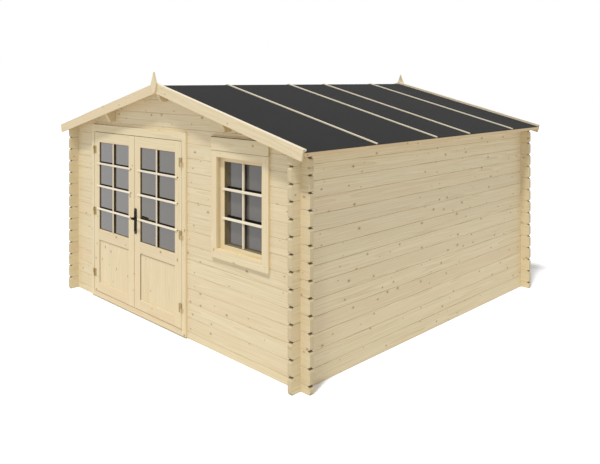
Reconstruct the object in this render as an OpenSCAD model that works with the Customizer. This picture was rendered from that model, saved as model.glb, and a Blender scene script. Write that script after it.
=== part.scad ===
// Garden shed of interlocking machined logs, with a felted gable roof,
// a pair of glazed doors and one window in the front wall.
// Millimetres. X runs along the front wall, the front faces -Y, Z is up.
// The origin is on the ground under the middle of the shed.

/* [Log walls] */
// Outside width of the front and back walls
wall_w = 3840; // [3600:10:4400]
// Outside depth of the side walls
wall_d = 3840; // [3400:10:4400]
// Thickness of a log
log_t = 44; // [36:1:58]
// Height of one log course
course_h = 140; // [136:1:146]
// Full courses in a side wall above the one that reaches over the door head
extra_courses = 0; // [0:1:1]
// How far the log ends run past the crossing wall
log_overhang = 104; // [60:1:130]
// Radius of the rounding at the top and bottom of each log end, cut in two facets
end_round = 26; // [6:1:32]
// Bevel along the edges of each log, which makes the joint between courses
edge_bevel = 4; // [1:0.5:6]
// Width of the tongue on top of a log
tongue_w = 16; // [10:1:20]
// Height of the tongue on top of a log
tongue_h = 8; // [5:0.5:12]
// Blunt toe left on a gable log where the roof cuts it to a feather edge
toe_h = 8; // [4:1:20]
// Clearance between pieces that slot together
fit = 0.3; // [0.1:0.1:0.6]

/* [Roof] */
// Slope of the roof in degrees
roof_pitch = 13.8; // [12:0.1:18]
// How far the roof boards reach past the log ends at the eaves
eave_clear = 38; // [20:1:90]
// How far the roof boards reach past the log ends at the gables
gable_clear = 8; // [5:1:60]
// Thickness of the roof boards
roof_board_t = 19; // [15:1:25]
// Clearance between the layers of the roof, and over the logs and purlins below it
bed = 0.05; // [0.02:0.01:0.1]
// Thickness of the roofing felt
felt_t = 3; // [2:0.5:5]
// Thickness of the strip along the eaves
fascia_t = 16; // [12:1:24]
// Height of the strip along the eaves
fascia_h = 30; // [24:1:60]
// Thickness of a bargeboard
barge_t = 18; // [14:1:26]
// Depth of a bargeboard, across the slope
barge_h = 95; // [80:1:130]
// How far a bargeboard stands above the felt
barge_lift = 22; // [14:1:36]
// Width of a batten on the felt
batten_w = 20; // [16:1:45]
// Thickness of a batten on the felt
batten_t = 10; // [8:1:14]
// How far a batten stops short of the eaves
batten_short = 8; // [0:1:30]
// Width that one felt strip covers
felt_cover = 938; // [800:1:1000]
// Width of the felt strip at the front gable
felt_first = 912; // [600:1:960]
// Width of the felt strip at the back gable
felt_last = 662; // [500:1:960]
// Thickness of a purlin
purlin_t = 44; // [36:1:70]
// Depth of a purlin
purlin_h = 140; // [110:1:160]
// Distance of the side purlins from the middle of the shed
purlin_x = 1017; // [900:1:1030]
// Length of the slanting cut under a purlin's end
purlin_cut_y = 52; // [20:1:60]
// Height of the slanting cut under a purlin's end
purlin_cut_z = 88; // [40:1:95]
// Thickness of a finial board
finial_t = 18; // [12:1:26]
// Greatest width of a finial
finial_w = 96; // [60:1:130]
// Height of a finial's point above the bargeboards
finial_rise = 111; // [80:1:160]

/* [Floor] */
// Height of the floor joists
joist_h = 45; // [38:1:47]
// Thickness of a floor joist
joist_t = 44; // [36:1:60]
// Number of floor joists
joists = 7; // [5:1:9]
// Thickness of the floor boards
floor_t = 19; // [15:1:20]
// Gap round the edge of the floor boards
floor_gap = 10; // [5:1:15]

/* [Doors] */
// Middle of the doorway, from the middle of the front wall
door_x = -566; // [-640:1:-520]
// Width of one door leaf
leaf_w = 864; // [760:1:880]
// Height of a door leaf
leaf_h = 1832; // [1790:1:1840]
// Thickness of a door leaf
leaf_t = 40; // [36:1:44]
// Gap between a leaf and the frame at its hinges, head and sill
leaf_gap = 6; // [6:0.5:8]
// Gap between the two leaves
meeting_gap = 8; // [8:0.5:12]
// Width of a door stile
stile_w = 112; // [98:1:130]
// Width of the top rail
top_rail = 113; // [90:1:140]
// Width of the bottom rail
bottom_rail = 107; // [90:1:140]
// Height of the lower panel between its rails
panel_h = 490; // [400:1:560]
// Width of the rail between panel and glass
lock_rail = 124; // [100:1:140]
// Thickness of the lower panel
panel_t = 20; // [14:1:24]
// How far the lower panel lies behind the leaf's face
panel_set = 9; // [5:1:10]
// Thickness of a pane of glass
glass_t = 4; // [3:0.5:6]
// How far the door glass lies behind the leaf's face
glass_set = 22; // [12:1:28]
// Depth of the grooves that hold panel and glass
groove = 10; // [6:1:14]
// Thickness of the door posts and of the head over the leaves
post_t = 40; // [30:1:50]
// How far the stops reach in behind the leaves
stop_w = 15; // [10:1:20]
// Gap between a closed leaf and its stop
stop_gap = 6; // [5:0.5:7]
// Width of the casing boards beside the doors
door_casing_w = 63; // [58:1:90]
// Height of the casing board over the doors
door_head_h = 82; // [70:1:112]
// Thickness of the casing boards
casing_t = 22; // [16:1:26]
// Height of the door casings' feet above the ground
casing_lift = 14; // [8:1:20]

/* [Hinges and handle] */
// Radius of a hinge knuckle
knuckle_r = 8; // [6:0.5:9]
// Radius of a hinge pin
pin_r = 4; // [3:0.5:4.5]
// Height of a hinge, both knuckles together
hinge_h = 88; // [60:1:110]
// Distance of the end hinges from the top and bottom of a leaf
hinge_inset = 205; // [150:1:300]
// Width of a hinge plate on a leaf
hinge_plate_w = 36; // [30:1:60]
// Thickness of a hinge plate
hinge_plate_t = 2.5; // [2:0.5:3]
// Running clearance of the hinge pins and of the handle's neck
turn_fit = 0.2; // [0.1:0.1:0.4]
// Width of a handle plate
plate_w = 45; // [36:1:48]
// Height of a handle plate
plate_h = 268; // [220:1:290]
// Thickness of a handle plate
plate_t = 8; // [5:1:10]
// Distance from the leaf's meeting edge to a handle plate
plate_inset = 3; // [3:0.5:8]
// Height of the handle plate's middle above the ground
plate_z = 1006; // [960:1:1040]
// Height of the lever above the middle of its plate
lever_up = 34; // [0:1:80]
// Length of the lever from its neck
lever_l = 112; // [90:1:130]
// Radius of the lever
lever_r = 9; // [6:0.5:10]
// Distance from the leaf's face to the middle of the lever
lever_out = 58; // [40:1:60]
// Radius of the lever's neck
neck_r = 9; // [8:0.5:11]
// Radius of the spindle between the levers
spindle_r = 6; // [4:0.5:7]

/* [Window] */
// Middle of the window, from the middle of the front wall
window_x = 1167; // [1120:1:1200]
// Width of the window between its frame's sides
window_w = 628; // [560:1:680]
// Distance of the window's top, inside its frame, below the doors' head
window_drop = 109; // [90:1:130]
// Height of the window inside its frame
window_h = 845; // [780:1:860]
// Thickness of the window frame's sides and head
lining_t = 30; // [20:1:36]
// Thickness of the window frame's bottom
lining_sill = 50; // [28:1:56]
// Depth of the window frame
lining_d = 82; // [76:1:100]
// Width of the sash's stiles
sash_stile = 58; // [44:1:66]
// Width of the sash's rails
sash_rail = 40; // [36:1:56]
// Thickness of the sash
sash_t = 48; // [40:1:48]
// How far the sash lies behind the outside of the wall
sash_set = 24; // [16:1:28]
// How far the window's glass lies before the back of the sash
pane_back = 4; // [3:0.5:8]
// Gap between the sash and its frame
sash_gap = 0.5; // [0.3:0.1:0.8]
// Width of the casing boards beside the window
window_casing_w = 78; // [56:1:86]
// Width of the casing board under the window
window_foot_h = 84; // [60:1:100]
// Width of the casing board over the window
window_head_h = 57; // [40:1:70]
// Height of the cover board over the window's casing
cover_h = 134; // [80:1:140]

/* [Hidden] */
$fn = 48;
half_w = wall_w / 2;
half_d = wall_d / 2;
slope = tan(roof_pitch);
across = cos(roof_pitch);
quarter = course_h / 4;
sill_top = course_h / 2;

// The doors set the height of the walls: the side walls reach over the door head,
// and the log over the doors is notched for the head in its lower half at most
leaf_z = sill_top + leaf_gap;
head_z = leaf_z + leaf_h + leaf_gap;
door_courses = ceil((head_z + post_t) / course_h);
side_courses = door_courses + extra_courses;
wall_top = side_courses * course_h;

// Heights of the roof's layers at a distance x from the ridge
function bearing(x) = wall_top + (half_w - abs(x)) * slope;
function underside(x) = bearing(x) + bed;
function deck(x) = underside(x) + roof_board_t / across;
function felt_under(x) = deck(x) + bed;
function felt_top(x) = felt_under(x) + felt_t / across;
function batten_under(x) = felt_top(x) + bed;

board_x = half_w + log_overhang + eave_clear;
eave_x = board_x + fascia_t;
roof_y = half_d + log_overhang + gable_clear;
barge_y = roof_y + barge_t;
ridge_bottom = bearing(0) - purlin_h;
side_purlin_bottom = bearing(purlin_x) - purlin_h;
lap_front = felt_first - roof_y;
lap_back = roof_y - felt_last;
batten_ys = [
    batten_w / 2 - roof_y, lap_front, lap_front + felt_cover,
    lap_back - felt_cover, lap_back, roof_y - batten_w / 2
];
barge_top = felt_top(0) + barge_lift;
barge_foot = barge_top - barge_h / across;

// The front and back walls start with half a log, so that their courses lie
// half a log above those of the side walls. Course -1 is the half log.
function front_z(j) = j < 0 ? 0 : course_h * (j + 0.5);
function in_gable(j) = front_z(j) >= wall_top;
gable_last = ceil((bearing(0) - toe_h) / course_h - 0.5) - 1;

open_w = 2 * (leaf_w + leaf_gap) + meeting_gap;
leaf_x = meeting_gap / 2;
door_cut_w = open_w + 2 * post_t;
lintel_j = door_courses - 1;
door_cut_top = max(head_z + post_t, front_z(lintel_j));
wall_face = -half_d;
wall_back = wall_face + log_t;
leaf_face = wall_face - casing_t;
leaf_back = leaf_face + leaf_t;
panel_z = leaf_z + bottom_rail;
pane_z = panel_z + panel_h + lock_rail;
pane_h = leaf_z + leaf_h - top_rail - pane_z;
opening_w = leaf_w - 2 * stile_w;

hinge_x = open_w / 2 - leaf_gap / 2;
hinge_y = leaf_face - knuckle_r - 1;
hinge_zs = [
    leaf_z + hinge_inset, leaf_z + leaf_h / 2, leaf_z + leaf_h - hinge_inset
];
handle_x = leaf_x + plate_inset + plate_w / 2;
lever_z = plate_z + lever_up;
leaf_mid_y = (leaf_face + leaf_back) / 2;

window_cut_w = window_w + 2 * lining_t;
window_top = head_z - window_drop;
window_z = window_top - window_h;
window_cut_z = window_z - lining_sill;
window_cut_top = window_top + lining_t;
sash_y = wall_face + sash_set;
pane_y = sash_y + sash_t - pane_back - glass_t;

timber = "burlywood";
trim = "wheat";
felt_grey = "dimgray";
glass_grey = "lightsteelblue";
brass = "goldenrod";
iron = "#2b2622";

// Length added to cutting shapes so that they pass right through
past = 10;

// Box between two corners
module box(low, high) {
    translate(low) cube(high - low);
}

// Outline in the XZ plane, carried along Y from y0 to y1
module along_y(points, y0, y1) {
    translate([0, y1, 0]) rotate([90, 0, 0]) linear_extrude(y1 - y0) polygon(points);
}

// Copy on the left of the doorway or of the shed
module mirrored() {
    mirror([1, 0, 0]) children();
}

// Cross-section of a log with its bevelled edges, tongue and groove
module log_section(h, with_groove, with_tongue) {
    edge = log_t / 2;
    slot = tongue_w / 2 + fit;
    tongue = tongue_w / 2;
    polygon(concat(
        [[edge_bevel - edge, 0]],
        with_groove ? [[-slot, 0], [-slot, tongue_h + fit], [slot, tongue_h + fit], [slot, 0]] : [],
        [[edge - edge_bevel, 0], [edge, edge_bevel], [edge, h - edge_bevel], [edge - edge_bevel, h]],
        with_tongue ? [[tongue, h], [tongue, h + tongue_h], [-tongue, h + tongue_h], [-tongue, h]] : [],
        [[edge_bevel - edge, h], [-edge, h - edge_bevel], [-edge, edge_bevel]]
    ));
}

// Right half of a log's side view: notches where the walls cross, rounded end.
// The log keeps the height from low to high in the crossing.
function log_end(half, h, low, high) =
    let (
        tip = half + log_overhang,
        mid = end_round * (1 - sqrt(0.5)),
        in_x = half - log_t - fit,
        out_x = half + fit,
        top = h + tongue_h
    )
    concat(
        low > 0 ? [[in_x, 0], [in_x, low], [out_x, low], [out_x, 0]] : [],
        [[tip - end_round, 0], [tip - mid, mid], [tip, end_round]],
        [[tip, h - end_round], [tip - mid, h - mid], [tip - end_round, h]],
        [[tip - end_round, top]],
        high < h ? [[out_x, top], [out_x, high], [in_x, high], [in_x, top]] : []
    );

function flipped(points) = [for (i = [len(points) - 1:-1:0]) [-points[i][0], points[i][1]]];

// Log along X: its section carried along, cut to the side view
module log_piece(side_view, half_length, h, with_groove, with_tongue) {
    intersection() {
        translate([-half_length, 0, 0]) rotate([90, 0, 90])
            linear_extrude(2 * half_length) log_section(h, with_groove, with_tongue);
        along_y(side_view, -log_t, log_t);
    }
}

// Log that crosses the walls at both its ends
module corner_log(half, h, low, high, with_groove, with_tongue) {
    right_end = log_end(half, h, low, high);
    log_piece(concat(right_end, flipped(right_end)), half + log_overhang, h, with_groove, with_tongue);
}

// Everything below the roof boards
module under_roof() {
    reach = eave_x + past;
    along_y(
        [[-reach, -past], [reach, -past], [reach, bearing(reach)], [0, bearing(0)],
         [-reach, bearing(reach)]],
        -barge_y, barge_y
    );
}

// Log k of a side wall, whose top log is bevelled to the slope of the roof
module side_log(k) {
    is_top = k == side_courses - 1;
    h = is_top ? course_h + log_t * slope + edge_bevel : course_h;
    translate([half_w - log_t / 2, 0, k * course_h]) rotate([0, 0, 90])
        corner_log(half_d, h, quarter, 3 * quarter, k > 0, !is_top);
}

module side_logs(first) {
    for (k = [first:2:side_courses - 1]) {
        if (k == side_courses - 1) {
            intersection() {
                side_log(k);
                under_roof();
            }
        } else {
            side_log(k);
        }
    }
}

// Log j of the front or back wall, lying on Y = 0
module gable_side_log(j) {
    z = front_z(j);
    if (j < 0) {
        corner_log(half_w, sill_top, 0, quarter, false, true);
    } else if (!in_gable(j)) {
        reaches_top = z + course_h > wall_top;
        translate([0, 0, z])
            corner_log(half_w, course_h, quarter, reaches_top ? course_h : 3 * quarter, true, true);
    } else {
        half = half_w - (z + toe_h - wall_top) / slope;
        top = course_h + tongue_h;
        translate([0, 0, z])
            log_piece([[-half, 0], [half, 0], [half, top], [-half, top]], half, course_h, true, true);
    }
}

// Log of a gabled wall cut to the roof and round the purlins
module fitted_log(j) {
    difference() {
        intersection() {
            gable_side_log(j);
            under_roof();
        }
        for (x = [-purlin_x, 0, purlin_x]) {
            bottom = x == 0 ? ridge_bottom : side_purlin_bottom;
            slot = purlin_t / 2 + fit;
            box([x - slot, -log_t, bottom], [x + slot, log_t, bearing(0) + past]);
        }
    }
}

// Front log with the doorway and the window opening cut out of it
module front_log(j) {
    translate([0, wall_face + log_t / 2, 0]) difference() {
        fitted_log(j);
        box([door_x - door_cut_w / 2, -log_t, sill_top], [door_x + door_cut_w / 2, log_t, door_cut_top]);
        box([window_x - window_cut_w / 2, -log_t, window_cut_z],
            [window_x + window_cut_w / 2, log_t, window_cut_top]);
    }
}

module front_logs(first) {
    for (j = [first:2:gable_last]) {
        if (j != lintel_j) front_log(j);
    }
}

module back_logs(first) {
    for (j = [first:2:gable_last]) {
        translate([0, half_d - log_t / 2, 0]) fitted_log(j);
    }
}

module right_wall_logs_a() { color(timber) side_logs(0); }
module right_wall_logs_b() { color(timber) side_logs(1); }
module left_wall_logs_a() { color(timber) mirrored() side_logs(0); }
module left_wall_logs_b() { color(timber) mirrored() side_logs(1); }
module back_wall_logs_a() { color(timber) back_logs(-1); }
module back_wall_logs_b() { color(timber) back_logs(0); }
module front_wall_logs_a() { color(timber) front_logs(-1); }
module front_wall_logs_b() { color(timber) front_logs(0); }
module door_lintel_log() { color(timber) front_log(lintel_j); }

// Slanting cut under both ends of a purlin whose bottom is at z
module purlin_end_cuts(z) {
    for (side = [-1, 1]) {
        rotate([90, 0, 90]) linear_extrude(wall_w, center = true) polygon([
            [side * (roof_y - purlin_cut_y), z], [side * (roof_y - purlin_cut_y), z - past],
            [side * (roof_y + past), z - past], [side * (roof_y + past), z + purlin_cut_z],
            [side * roof_y, z + purlin_cut_z]
        ]);
    }
}

module ridge_purlin() {
    half = purlin_t / 2;
    difference() {
        along_y(
            [[-half, ridge_bottom], [half, ridge_bottom], [half, bearing(half)],
             [0, bearing(0)], [-half, bearing(half)]],
            -roof_y, roof_y
        );
        purlin_end_cuts(ridge_bottom);
    }
}

module side_purlin() {
    in_x = purlin_x - purlin_t / 2;
    out_x = purlin_x + purlin_t / 2;
    difference() {
        along_y(
            [[in_x, side_purlin_bottom], [out_x, side_purlin_bottom],
             [out_x, bearing(out_x)], [in_x, bearing(in_x)]],
            -roof_y, roof_y
        );
        purlin_end_cuts(side_purlin_bottom);
    }
}

module roof_purlins() {
    color(timber) {
        ridge_purlin();
        side_purlin();
        mirrored() side_purlin();
    }
}

module right_roof_boards() {
    color(timber) along_y(
        [[0, underside(0)], [board_x, underside(board_x)], [board_x, deck(board_x)], [0, deck(0)]],
        -roof_y, roof_y
    );
}

module left_roof_boards() { mirrored() right_roof_boards(); }

// Felt strips run from eave to eave over the ridge
module roof_felt() {
    color(felt_grey) along_y(
        [[-eave_x, felt_under(eave_x)], [0, felt_under(0)], [eave_x, felt_under(eave_x)],
         [eave_x, felt_top(eave_x)], [0, felt_top(0)], [-eave_x, felt_top(eave_x)]],
        -roof_y, roof_y
    );
}

// Battens over the laps of the felt and along its two gable edges
module right_roof_battens() {
    low_x = eave_x - batten_short;
    rise = batten_t / across;
    color(trim) for (y = batten_ys) {
        along_y(
            [[0, batten_under(0)], [low_x, batten_under(low_x)],
             [low_x, batten_under(low_x) + rise], [0, batten_under(0) + rise]],
            y - batten_w / 2, y + batten_w / 2
        );
    }
}

module left_roof_battens() { mirrored() right_roof_battens(); }

// Strip that closes the roof boards' ends along each eave
module eave_strips() {
    bottom = deck(eave_x) - fascia_h;
    color(trim) for (side = [0, 1]) mirror([side, 0, 0]) along_y(
        [[board_x, bottom], [eave_x, bottom], [eave_x, deck(eave_x)], [board_x, deck(board_x)]],
        -roof_y, roof_y
    );
}

// Bargeboard on the right slope, plumb at the ridge and square at its foot
module bargeboard(y0) {
    top_end = [eave_x, felt_top(eave_x) + barge_lift];
    foot_end = top_end - barge_h * [sin(roof_pitch), across];
    color(trim) along_y([[0, barge_foot], foot_end, top_end, [0, barge_top]], y0, y0 + barge_t);
}

module front_right_bargeboard() { bargeboard(-barge_y); }
module front_left_bargeboard() { mirrored() bargeboard(-barge_y); }
module back_right_bargeboard() { bargeboard(roof_y); }
module back_left_bargeboard() { mirrored() bargeboard(roof_y); }

// Right edge of a finial: it swells from its foot to the level of the
// bargeboards' tops and draws in again to its point
finial_steps = 8;
finial_foot_w = finial_w / 4;
function finial_half(s) = s < 0
    ? finial_foot_w / 2 + (finial_w - finial_foot_w) / 2 * (1 - s * s)
    : finial_w / 2 * (1 - pow(s, 0.8));
function finial_z(s) = barge_top + s * (s < 0 ? barge_top - barge_foot : finial_rise);

module finial(y0) {
    edge = [
        for (i = [-finial_steps:finial_steps])
            let (s = i / finial_steps) [finial_half(s), finial_z(s)]
    ];
    left_edge = [for (i = [len(edge) - 2:-1:0]) [-edge[i][0], edge[i][1]]];
    along_y(concat(edge, left_edge), y0, y0 + finial_t);
}

module finials() {
    color(trim) {
        finial(-barge_y - finial_t);
        finial(barge_y);
    }
}

inner_w = wall_w - 2 * log_t;
inner_d = wall_d - 2 * log_t;

// Joists fit between the front and back walls, the first and last beside the side walls
module floor_joists() {
    first = -inner_w / 2 + floor_gap;
    pitch = (inner_w - 2 * floor_gap - joist_t) / (joists - 1);
    color(timber) for (i = [0:joists - 1]) {
        x = first + i * pitch;
        box([x, fit - inner_d / 2, 0], [x + joist_t, inner_d / 2 - fit, joist_h]);
    }
}

module floor_boards() {
    half_x = inner_w / 2 - floor_gap;
    half_y = inner_d / 2 - floor_gap;
    color(timber) box([-half_x, -half_y, joist_h], [half_x, half_y, joist_h + floor_t]);
}

// The doorway's pieces are drawn about its middle, and set to its place
module at_door() {
    translate([door_x, 0, 0]) children();
}

stop_y = leaf_back + stop_gap;

module door_posts() {
    face = open_w / 2;
    color(trim) at_door() for (side = [0, 1]) mirror([side, 0, 0])
        translate([0, 0, sill_top]) linear_extrude(door_cut_top - sill_top) polygon([
            [face, wall_face], [face + post_t, wall_face], [face + post_t, wall_back],
            [face - stop_w, wall_back], [face - stop_w, stop_y], [face, stop_y]
        ]);
}

module door_head() {
    half = open_w / 2;
    color(trim) at_door() {
        box([-half, wall_face, head_z], [half, stop_y, door_cut_top]);
        box([stop_w - half, stop_y, head_z - stop_w], [half - stop_w, wall_back, door_cut_top]);
    }
}

module door_side_casings() {
    color(trim) at_door() for (side = [0, 1]) mirror([side, 0, 0])
        box([open_w / 2, leaf_face, casing_lift],
            [open_w / 2 + door_casing_w, wall_face, head_z + door_head_h]);
}

// Boards between the side casings, over the leaves and under them
module door_head_casing() {
    half = open_w / 2;
    color(trim) at_door() {
        box([-half, leaf_face, head_z], [half, wall_face, head_z + door_head_h]);
        box([-half, leaf_face, casing_lift], [half, wall_face, sill_top]);
    }
}

// Frame of the right leaf: stiles and rails grooved for the panel and the glass
module leaf_frame(with_handle) {
    x0 = leaf_x + stile_w;
    x1 = x0 + opening_w;
    color(trim) difference() {
        box([leaf_x, leaf_face, leaf_z], [leaf_x + leaf_w, leaf_back, leaf_z + leaf_h]);
        for (hole = [[panel_z, panel_h, panel_set, panel_t], [pane_z, pane_h, glass_set, glass_t]]) {
            box([x0, leaf_face - past, hole[0]], [x1, leaf_back + past, hole[0] + hole[1]]);
            box([x0 - groove, leaf_face + hole[2] - fit, hole[0] - groove],
                [x1 + groove, leaf_face + hole[2] + hole[3] + fit, hole[0] + hole[1] + groove]);
        }
        if (with_handle) {
            translate([handle_x, leaf_back + past, lever_z]) rotate([90, 0, 0])
                cylinder(r = neck_r + 2, h = leaf_t + 2 * past);
        }
    }
}

// Sheet held in the leaf's grooves
module leaf_sheet(z, h, inset, t) {
    reach = groove - fit;
    box([leaf_x + stile_w - reach, leaf_face + inset, z - reach],
        [leaf_x + leaf_w - stile_w + reach, leaf_face + inset + t, z + h + reach]);
}

module leaf_panel() { color(timber) leaf_sheet(panel_z, panel_h, panel_set, panel_t); }
module leaf_glass() { color(glass_grey) leaf_sheet(pane_z, pane_h, glass_set, glass_t); }

// Plate with rounded corners in the XZ plane, from y0 to y1
module rounded_plate(x0, x1, z0, z1, y0, y1, r) {
    box([x0 + r, y0, z0], [x1 - r, y1, z1]);
    box([x0, y0, z0 + r], [x1, y1, z1 - r]);
    for (x = [x0 + r, x1 - r], z = [z0 + r, z1 - r]) {
        translate([x, y1, z]) rotate([90, 0, 0]) cylinder(r = r, h = y1 - y0);
    }
}

hinge_half = hinge_h / 2;
knuckle_seat = 0.15;
plate_clear = knuckle_r + 2;
plate_corner = 6;

// Moving half of each hinge: upper knuckle, its arm and the plate on the leaf
module hinge_leaves() {
    plate_y = leaf_face - hinge_plate_t;
    color(brass) for (z = hinge_zs) difference() {
        union() {
            translate([hinge_x, hinge_y, z + knuckle_seat])
                cylinder(r = knuckle_r, h = hinge_half - knuckle_seat);
            box([hinge_x - plate_clear - plate_corner, plate_y, z + knuckle_seat],
                [hinge_x, leaf_face, z + hinge_half]);
            box([hinge_x - knuckle_r, hinge_y, z + knuckle_seat], [hinge_x, leaf_face, z + hinge_half]);
            rounded_plate(hinge_x - plate_clear - hinge_plate_w, hinge_x - plate_clear,
                z - hinge_half, z + hinge_half, plate_y, leaf_face, plate_corner);
        }
        translate([hinge_x, hinge_y, z - hinge_half]) cylinder(r = pin_r + turn_fit, h = hinge_h - 4);
    }
}

// Fixed half of each hinge: lower knuckle, pin and the arm on the casing
module fixed_hinges() {
    arm_w = door_casing_w / 3;
    for (z = hinge_zs) {
        translate([hinge_x, hinge_y, z - hinge_half])
            cylinder(r = knuckle_r, h = hinge_half - knuckle_seat);
        translate([hinge_x, hinge_y, z - hinge_half]) cylinder(r = pin_r, h = hinge_h - 6);
        box([hinge_x, hinge_y, z - hinge_half], [hinge_x + knuckle_r, leaf_face - turn_fit, z - knuckle_seat]);
        box([hinge_x, leaf_face - hinge_plate_t, z - hinge_half],
            [hinge_x + plate_clear + arm_w, leaf_face, z - knuckle_seat]);
    }
}

module hinge_pins() {
    color(brass) at_door() for (side = [0, 1]) mirror([side, 0, 0]) fixed_hinges();
}

module left_door_frame() { at_door() mirrored() leaf_frame(false); }
module left_door_panel() { at_door() mirrored() leaf_panel(); }
module left_door_glass() { at_door() mirrored() leaf_glass(); }
module left_hinge_leaves() { at_door() mirrored() hinge_leaves(); }
module right_door_frame() { at_door() leaf_frame(true); }
module right_door_panel() { at_door() leaf_panel(); }
module right_door_glass() { at_door() leaf_glass(); }
module right_hinge_leaves() { at_door() hinge_leaves(); }

// Long plates inside and outside, bored for the lever's neck
module handle_plates() {
    color(iron) at_door() difference() {
        for (y = [leaf_face - plate_t, leaf_back]) {
            rounded_plate(handle_x - plate_w / 2, handle_x + plate_w / 2,
                plate_z - plate_h / 2, plate_z + plate_h / 2, y, y + plate_t, plate_w / 3);
        }
        translate([handle_x, leaf_back + 2 * plate_t, lever_z]) rotate([90, 0, 0])
            cylinder(r = neck_r + turn_fit, h = leaf_t + 4 * plate_t);
    }
}

// Both levers and their necks on one spindle
module handle_levers() {
    reach = leaf_t / 2 + lever_out;
    neck_in = leaf_t / 2 + turn_fit;
    color(iron) at_door() translate([handle_x, leaf_mid_y, lever_z]) {
        rotate([90, 0, 0]) cylinder(r = spindle_r, h = 2 * reach, center = true);
        for (side = [0, 1]) mirror([0, side, 0]) {
            translate([0, neck_in, 0]) rotate([-90, 0, 0]) cylinder(r = neck_r, h = reach - neck_in);
            translate([0, reach, 0]) sphere(r = neck_r);
            translate([0, reach, 0]) rotate([0, 90, 0]) cylinder(r = lever_r, h = lever_l);
            translate([lever_l, reach, 0]) sphere(r = lever_r);
        }
    }
}

// The window's pieces are drawn about its middle, and set to its place
module at_window() {
    translate([window_x, 0, 0]) children();
}

module window_frame() {
    half = window_w / 2;
    color(trim) at_window() difference() {
        box([-half - lining_t, wall_face, window_cut_z],
            [half + lining_t, wall_face + lining_d, window_cut_top]);
        box([-half, wall_face - past, window_z], [half, wall_face + lining_d + past, window_top]);
    }
}

module window_side_casings() {
    color(trim) at_window() for (side = [0, 1]) mirror([side, 0, 0])
        box([window_w / 2, leaf_face, window_z - window_foot_h],
            [window_w / 2 + window_casing_w, wall_face, window_top + window_head_h]);
}

module window_head_casing() {
    color(trim) at_window() box([-window_w / 2, leaf_face, window_top],
        [window_w / 2, wall_face, window_top + window_head_h]);
}

module window_foot_casing() {
    color(trim) at_window() box([-window_w / 2, leaf_face, window_z - window_foot_h],
        [window_w / 2, wall_face, window_z]);
}

module window_cover_board() {
    half = window_w / 2 + window_casing_w;
    color(trim) at_window() box([-half, leaf_face, window_top + window_head_h],
        [half, wall_face, window_top + window_head_h + cover_h]);
}

module window_sash() {
    half = window_w / 2 - sash_gap;
    inner = half - sash_stile;
    low = window_z + sash_gap;
    high = window_top - sash_gap;
    color(trim) at_window() difference() {
        box([-half, sash_y, low], [half, sash_y + sash_t, high]);
        box([-inner, sash_y - past, low + sash_rail],
            [inner, sash_y + sash_t + past, high - sash_rail]);
        box([-inner - groove, pane_y - fit, low + sash_rail - groove],
            [inner + groove, pane_y + glass_t + fit, high - sash_rail + groove]);
    }
}

module window_glass() {
    edge = sash_gap - groove + fit;
    half = window_w / 2 - sash_stile - edge;
    inset = sash_rail + edge;
    color(glass_grey) at_window() box([-half, pane_y, window_z + inset],
        [half, pane_y + glass_t, window_top - inset]);
}

right_wall_logs_a();
right_wall_logs_b();
left_wall_logs_a();
left_wall_logs_b();
back_wall_logs_a();
back_wall_logs_b();
front_wall_logs_a();
front_wall_logs_b();
door_lintel_log();
roof_purlins();
left_roof_boards();
right_roof_boards();
roof_felt();
left_roof_battens();
right_roof_battens();
eave_strips();
front_left_bargeboard();
front_right_bargeboard();
back_left_bargeboard();
back_right_bargeboard();
finials();
floor_joists();
floor_boards();
door_posts();
door_head();
door_side_casings();
door_head_casing();
left_door_frame();
left_door_panel();
left_door_glass();
left_hinge_leaves();
right_door_frame();
right_door_panel();
right_door_glass();
right_hinge_leaves();
hinge_pins();
handle_plates();
handle_levers();
window_frame();
window_side_casings();
window_head_casing();
window_foot_casing();
window_cover_board();
window_sash();
window_glass();
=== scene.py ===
"""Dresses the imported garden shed: wood, felt, glass and brass, boards, bars, fixings, light and camera."""

import logging
import math
from collections.abc import Callable
from dataclasses import dataclass
from enum import Enum
from functools import partial

import bpy
import numpy as np
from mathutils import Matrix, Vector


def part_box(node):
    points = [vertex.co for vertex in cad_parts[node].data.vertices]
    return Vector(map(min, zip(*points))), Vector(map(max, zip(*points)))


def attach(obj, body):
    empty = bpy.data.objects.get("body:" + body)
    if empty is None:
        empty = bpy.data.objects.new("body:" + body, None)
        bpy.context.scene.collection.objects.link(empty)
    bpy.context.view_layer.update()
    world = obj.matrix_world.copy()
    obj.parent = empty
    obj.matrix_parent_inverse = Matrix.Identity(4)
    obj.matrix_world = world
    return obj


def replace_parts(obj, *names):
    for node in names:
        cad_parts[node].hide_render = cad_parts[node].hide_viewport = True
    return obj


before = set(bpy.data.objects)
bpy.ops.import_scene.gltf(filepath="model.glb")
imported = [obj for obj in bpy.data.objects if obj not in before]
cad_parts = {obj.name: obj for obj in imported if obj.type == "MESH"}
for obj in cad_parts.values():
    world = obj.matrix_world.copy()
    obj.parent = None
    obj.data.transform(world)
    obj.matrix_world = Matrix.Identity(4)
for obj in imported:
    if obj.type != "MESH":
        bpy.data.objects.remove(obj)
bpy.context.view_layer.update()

ROOF_PITCH = math.radians(13.8)
ROOF_FALL = math.tan(ROOF_PITCH)
QUARTER_TURN = math.pi / 2
SMOOTH_ANGLE = math.radians(20)  # less than a step of an eased edge, so that flat faces stay flat

logging.basicConfig(level=logging.INFO, format="%(message)s")
log = logging.getLogger("shed")


class Axis(Enum):
    """Direction that a profile is carried in, as the index of a coordinate."""

    X = 0
    Y = 1
    Z = 2

    @property
    def plane(self) -> tuple[int, int]:
        """The two coordinates of the profile, in right-handed order about the direction."""
        return (self.value + 1) % 3, (self.value + 2) % 3


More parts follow.
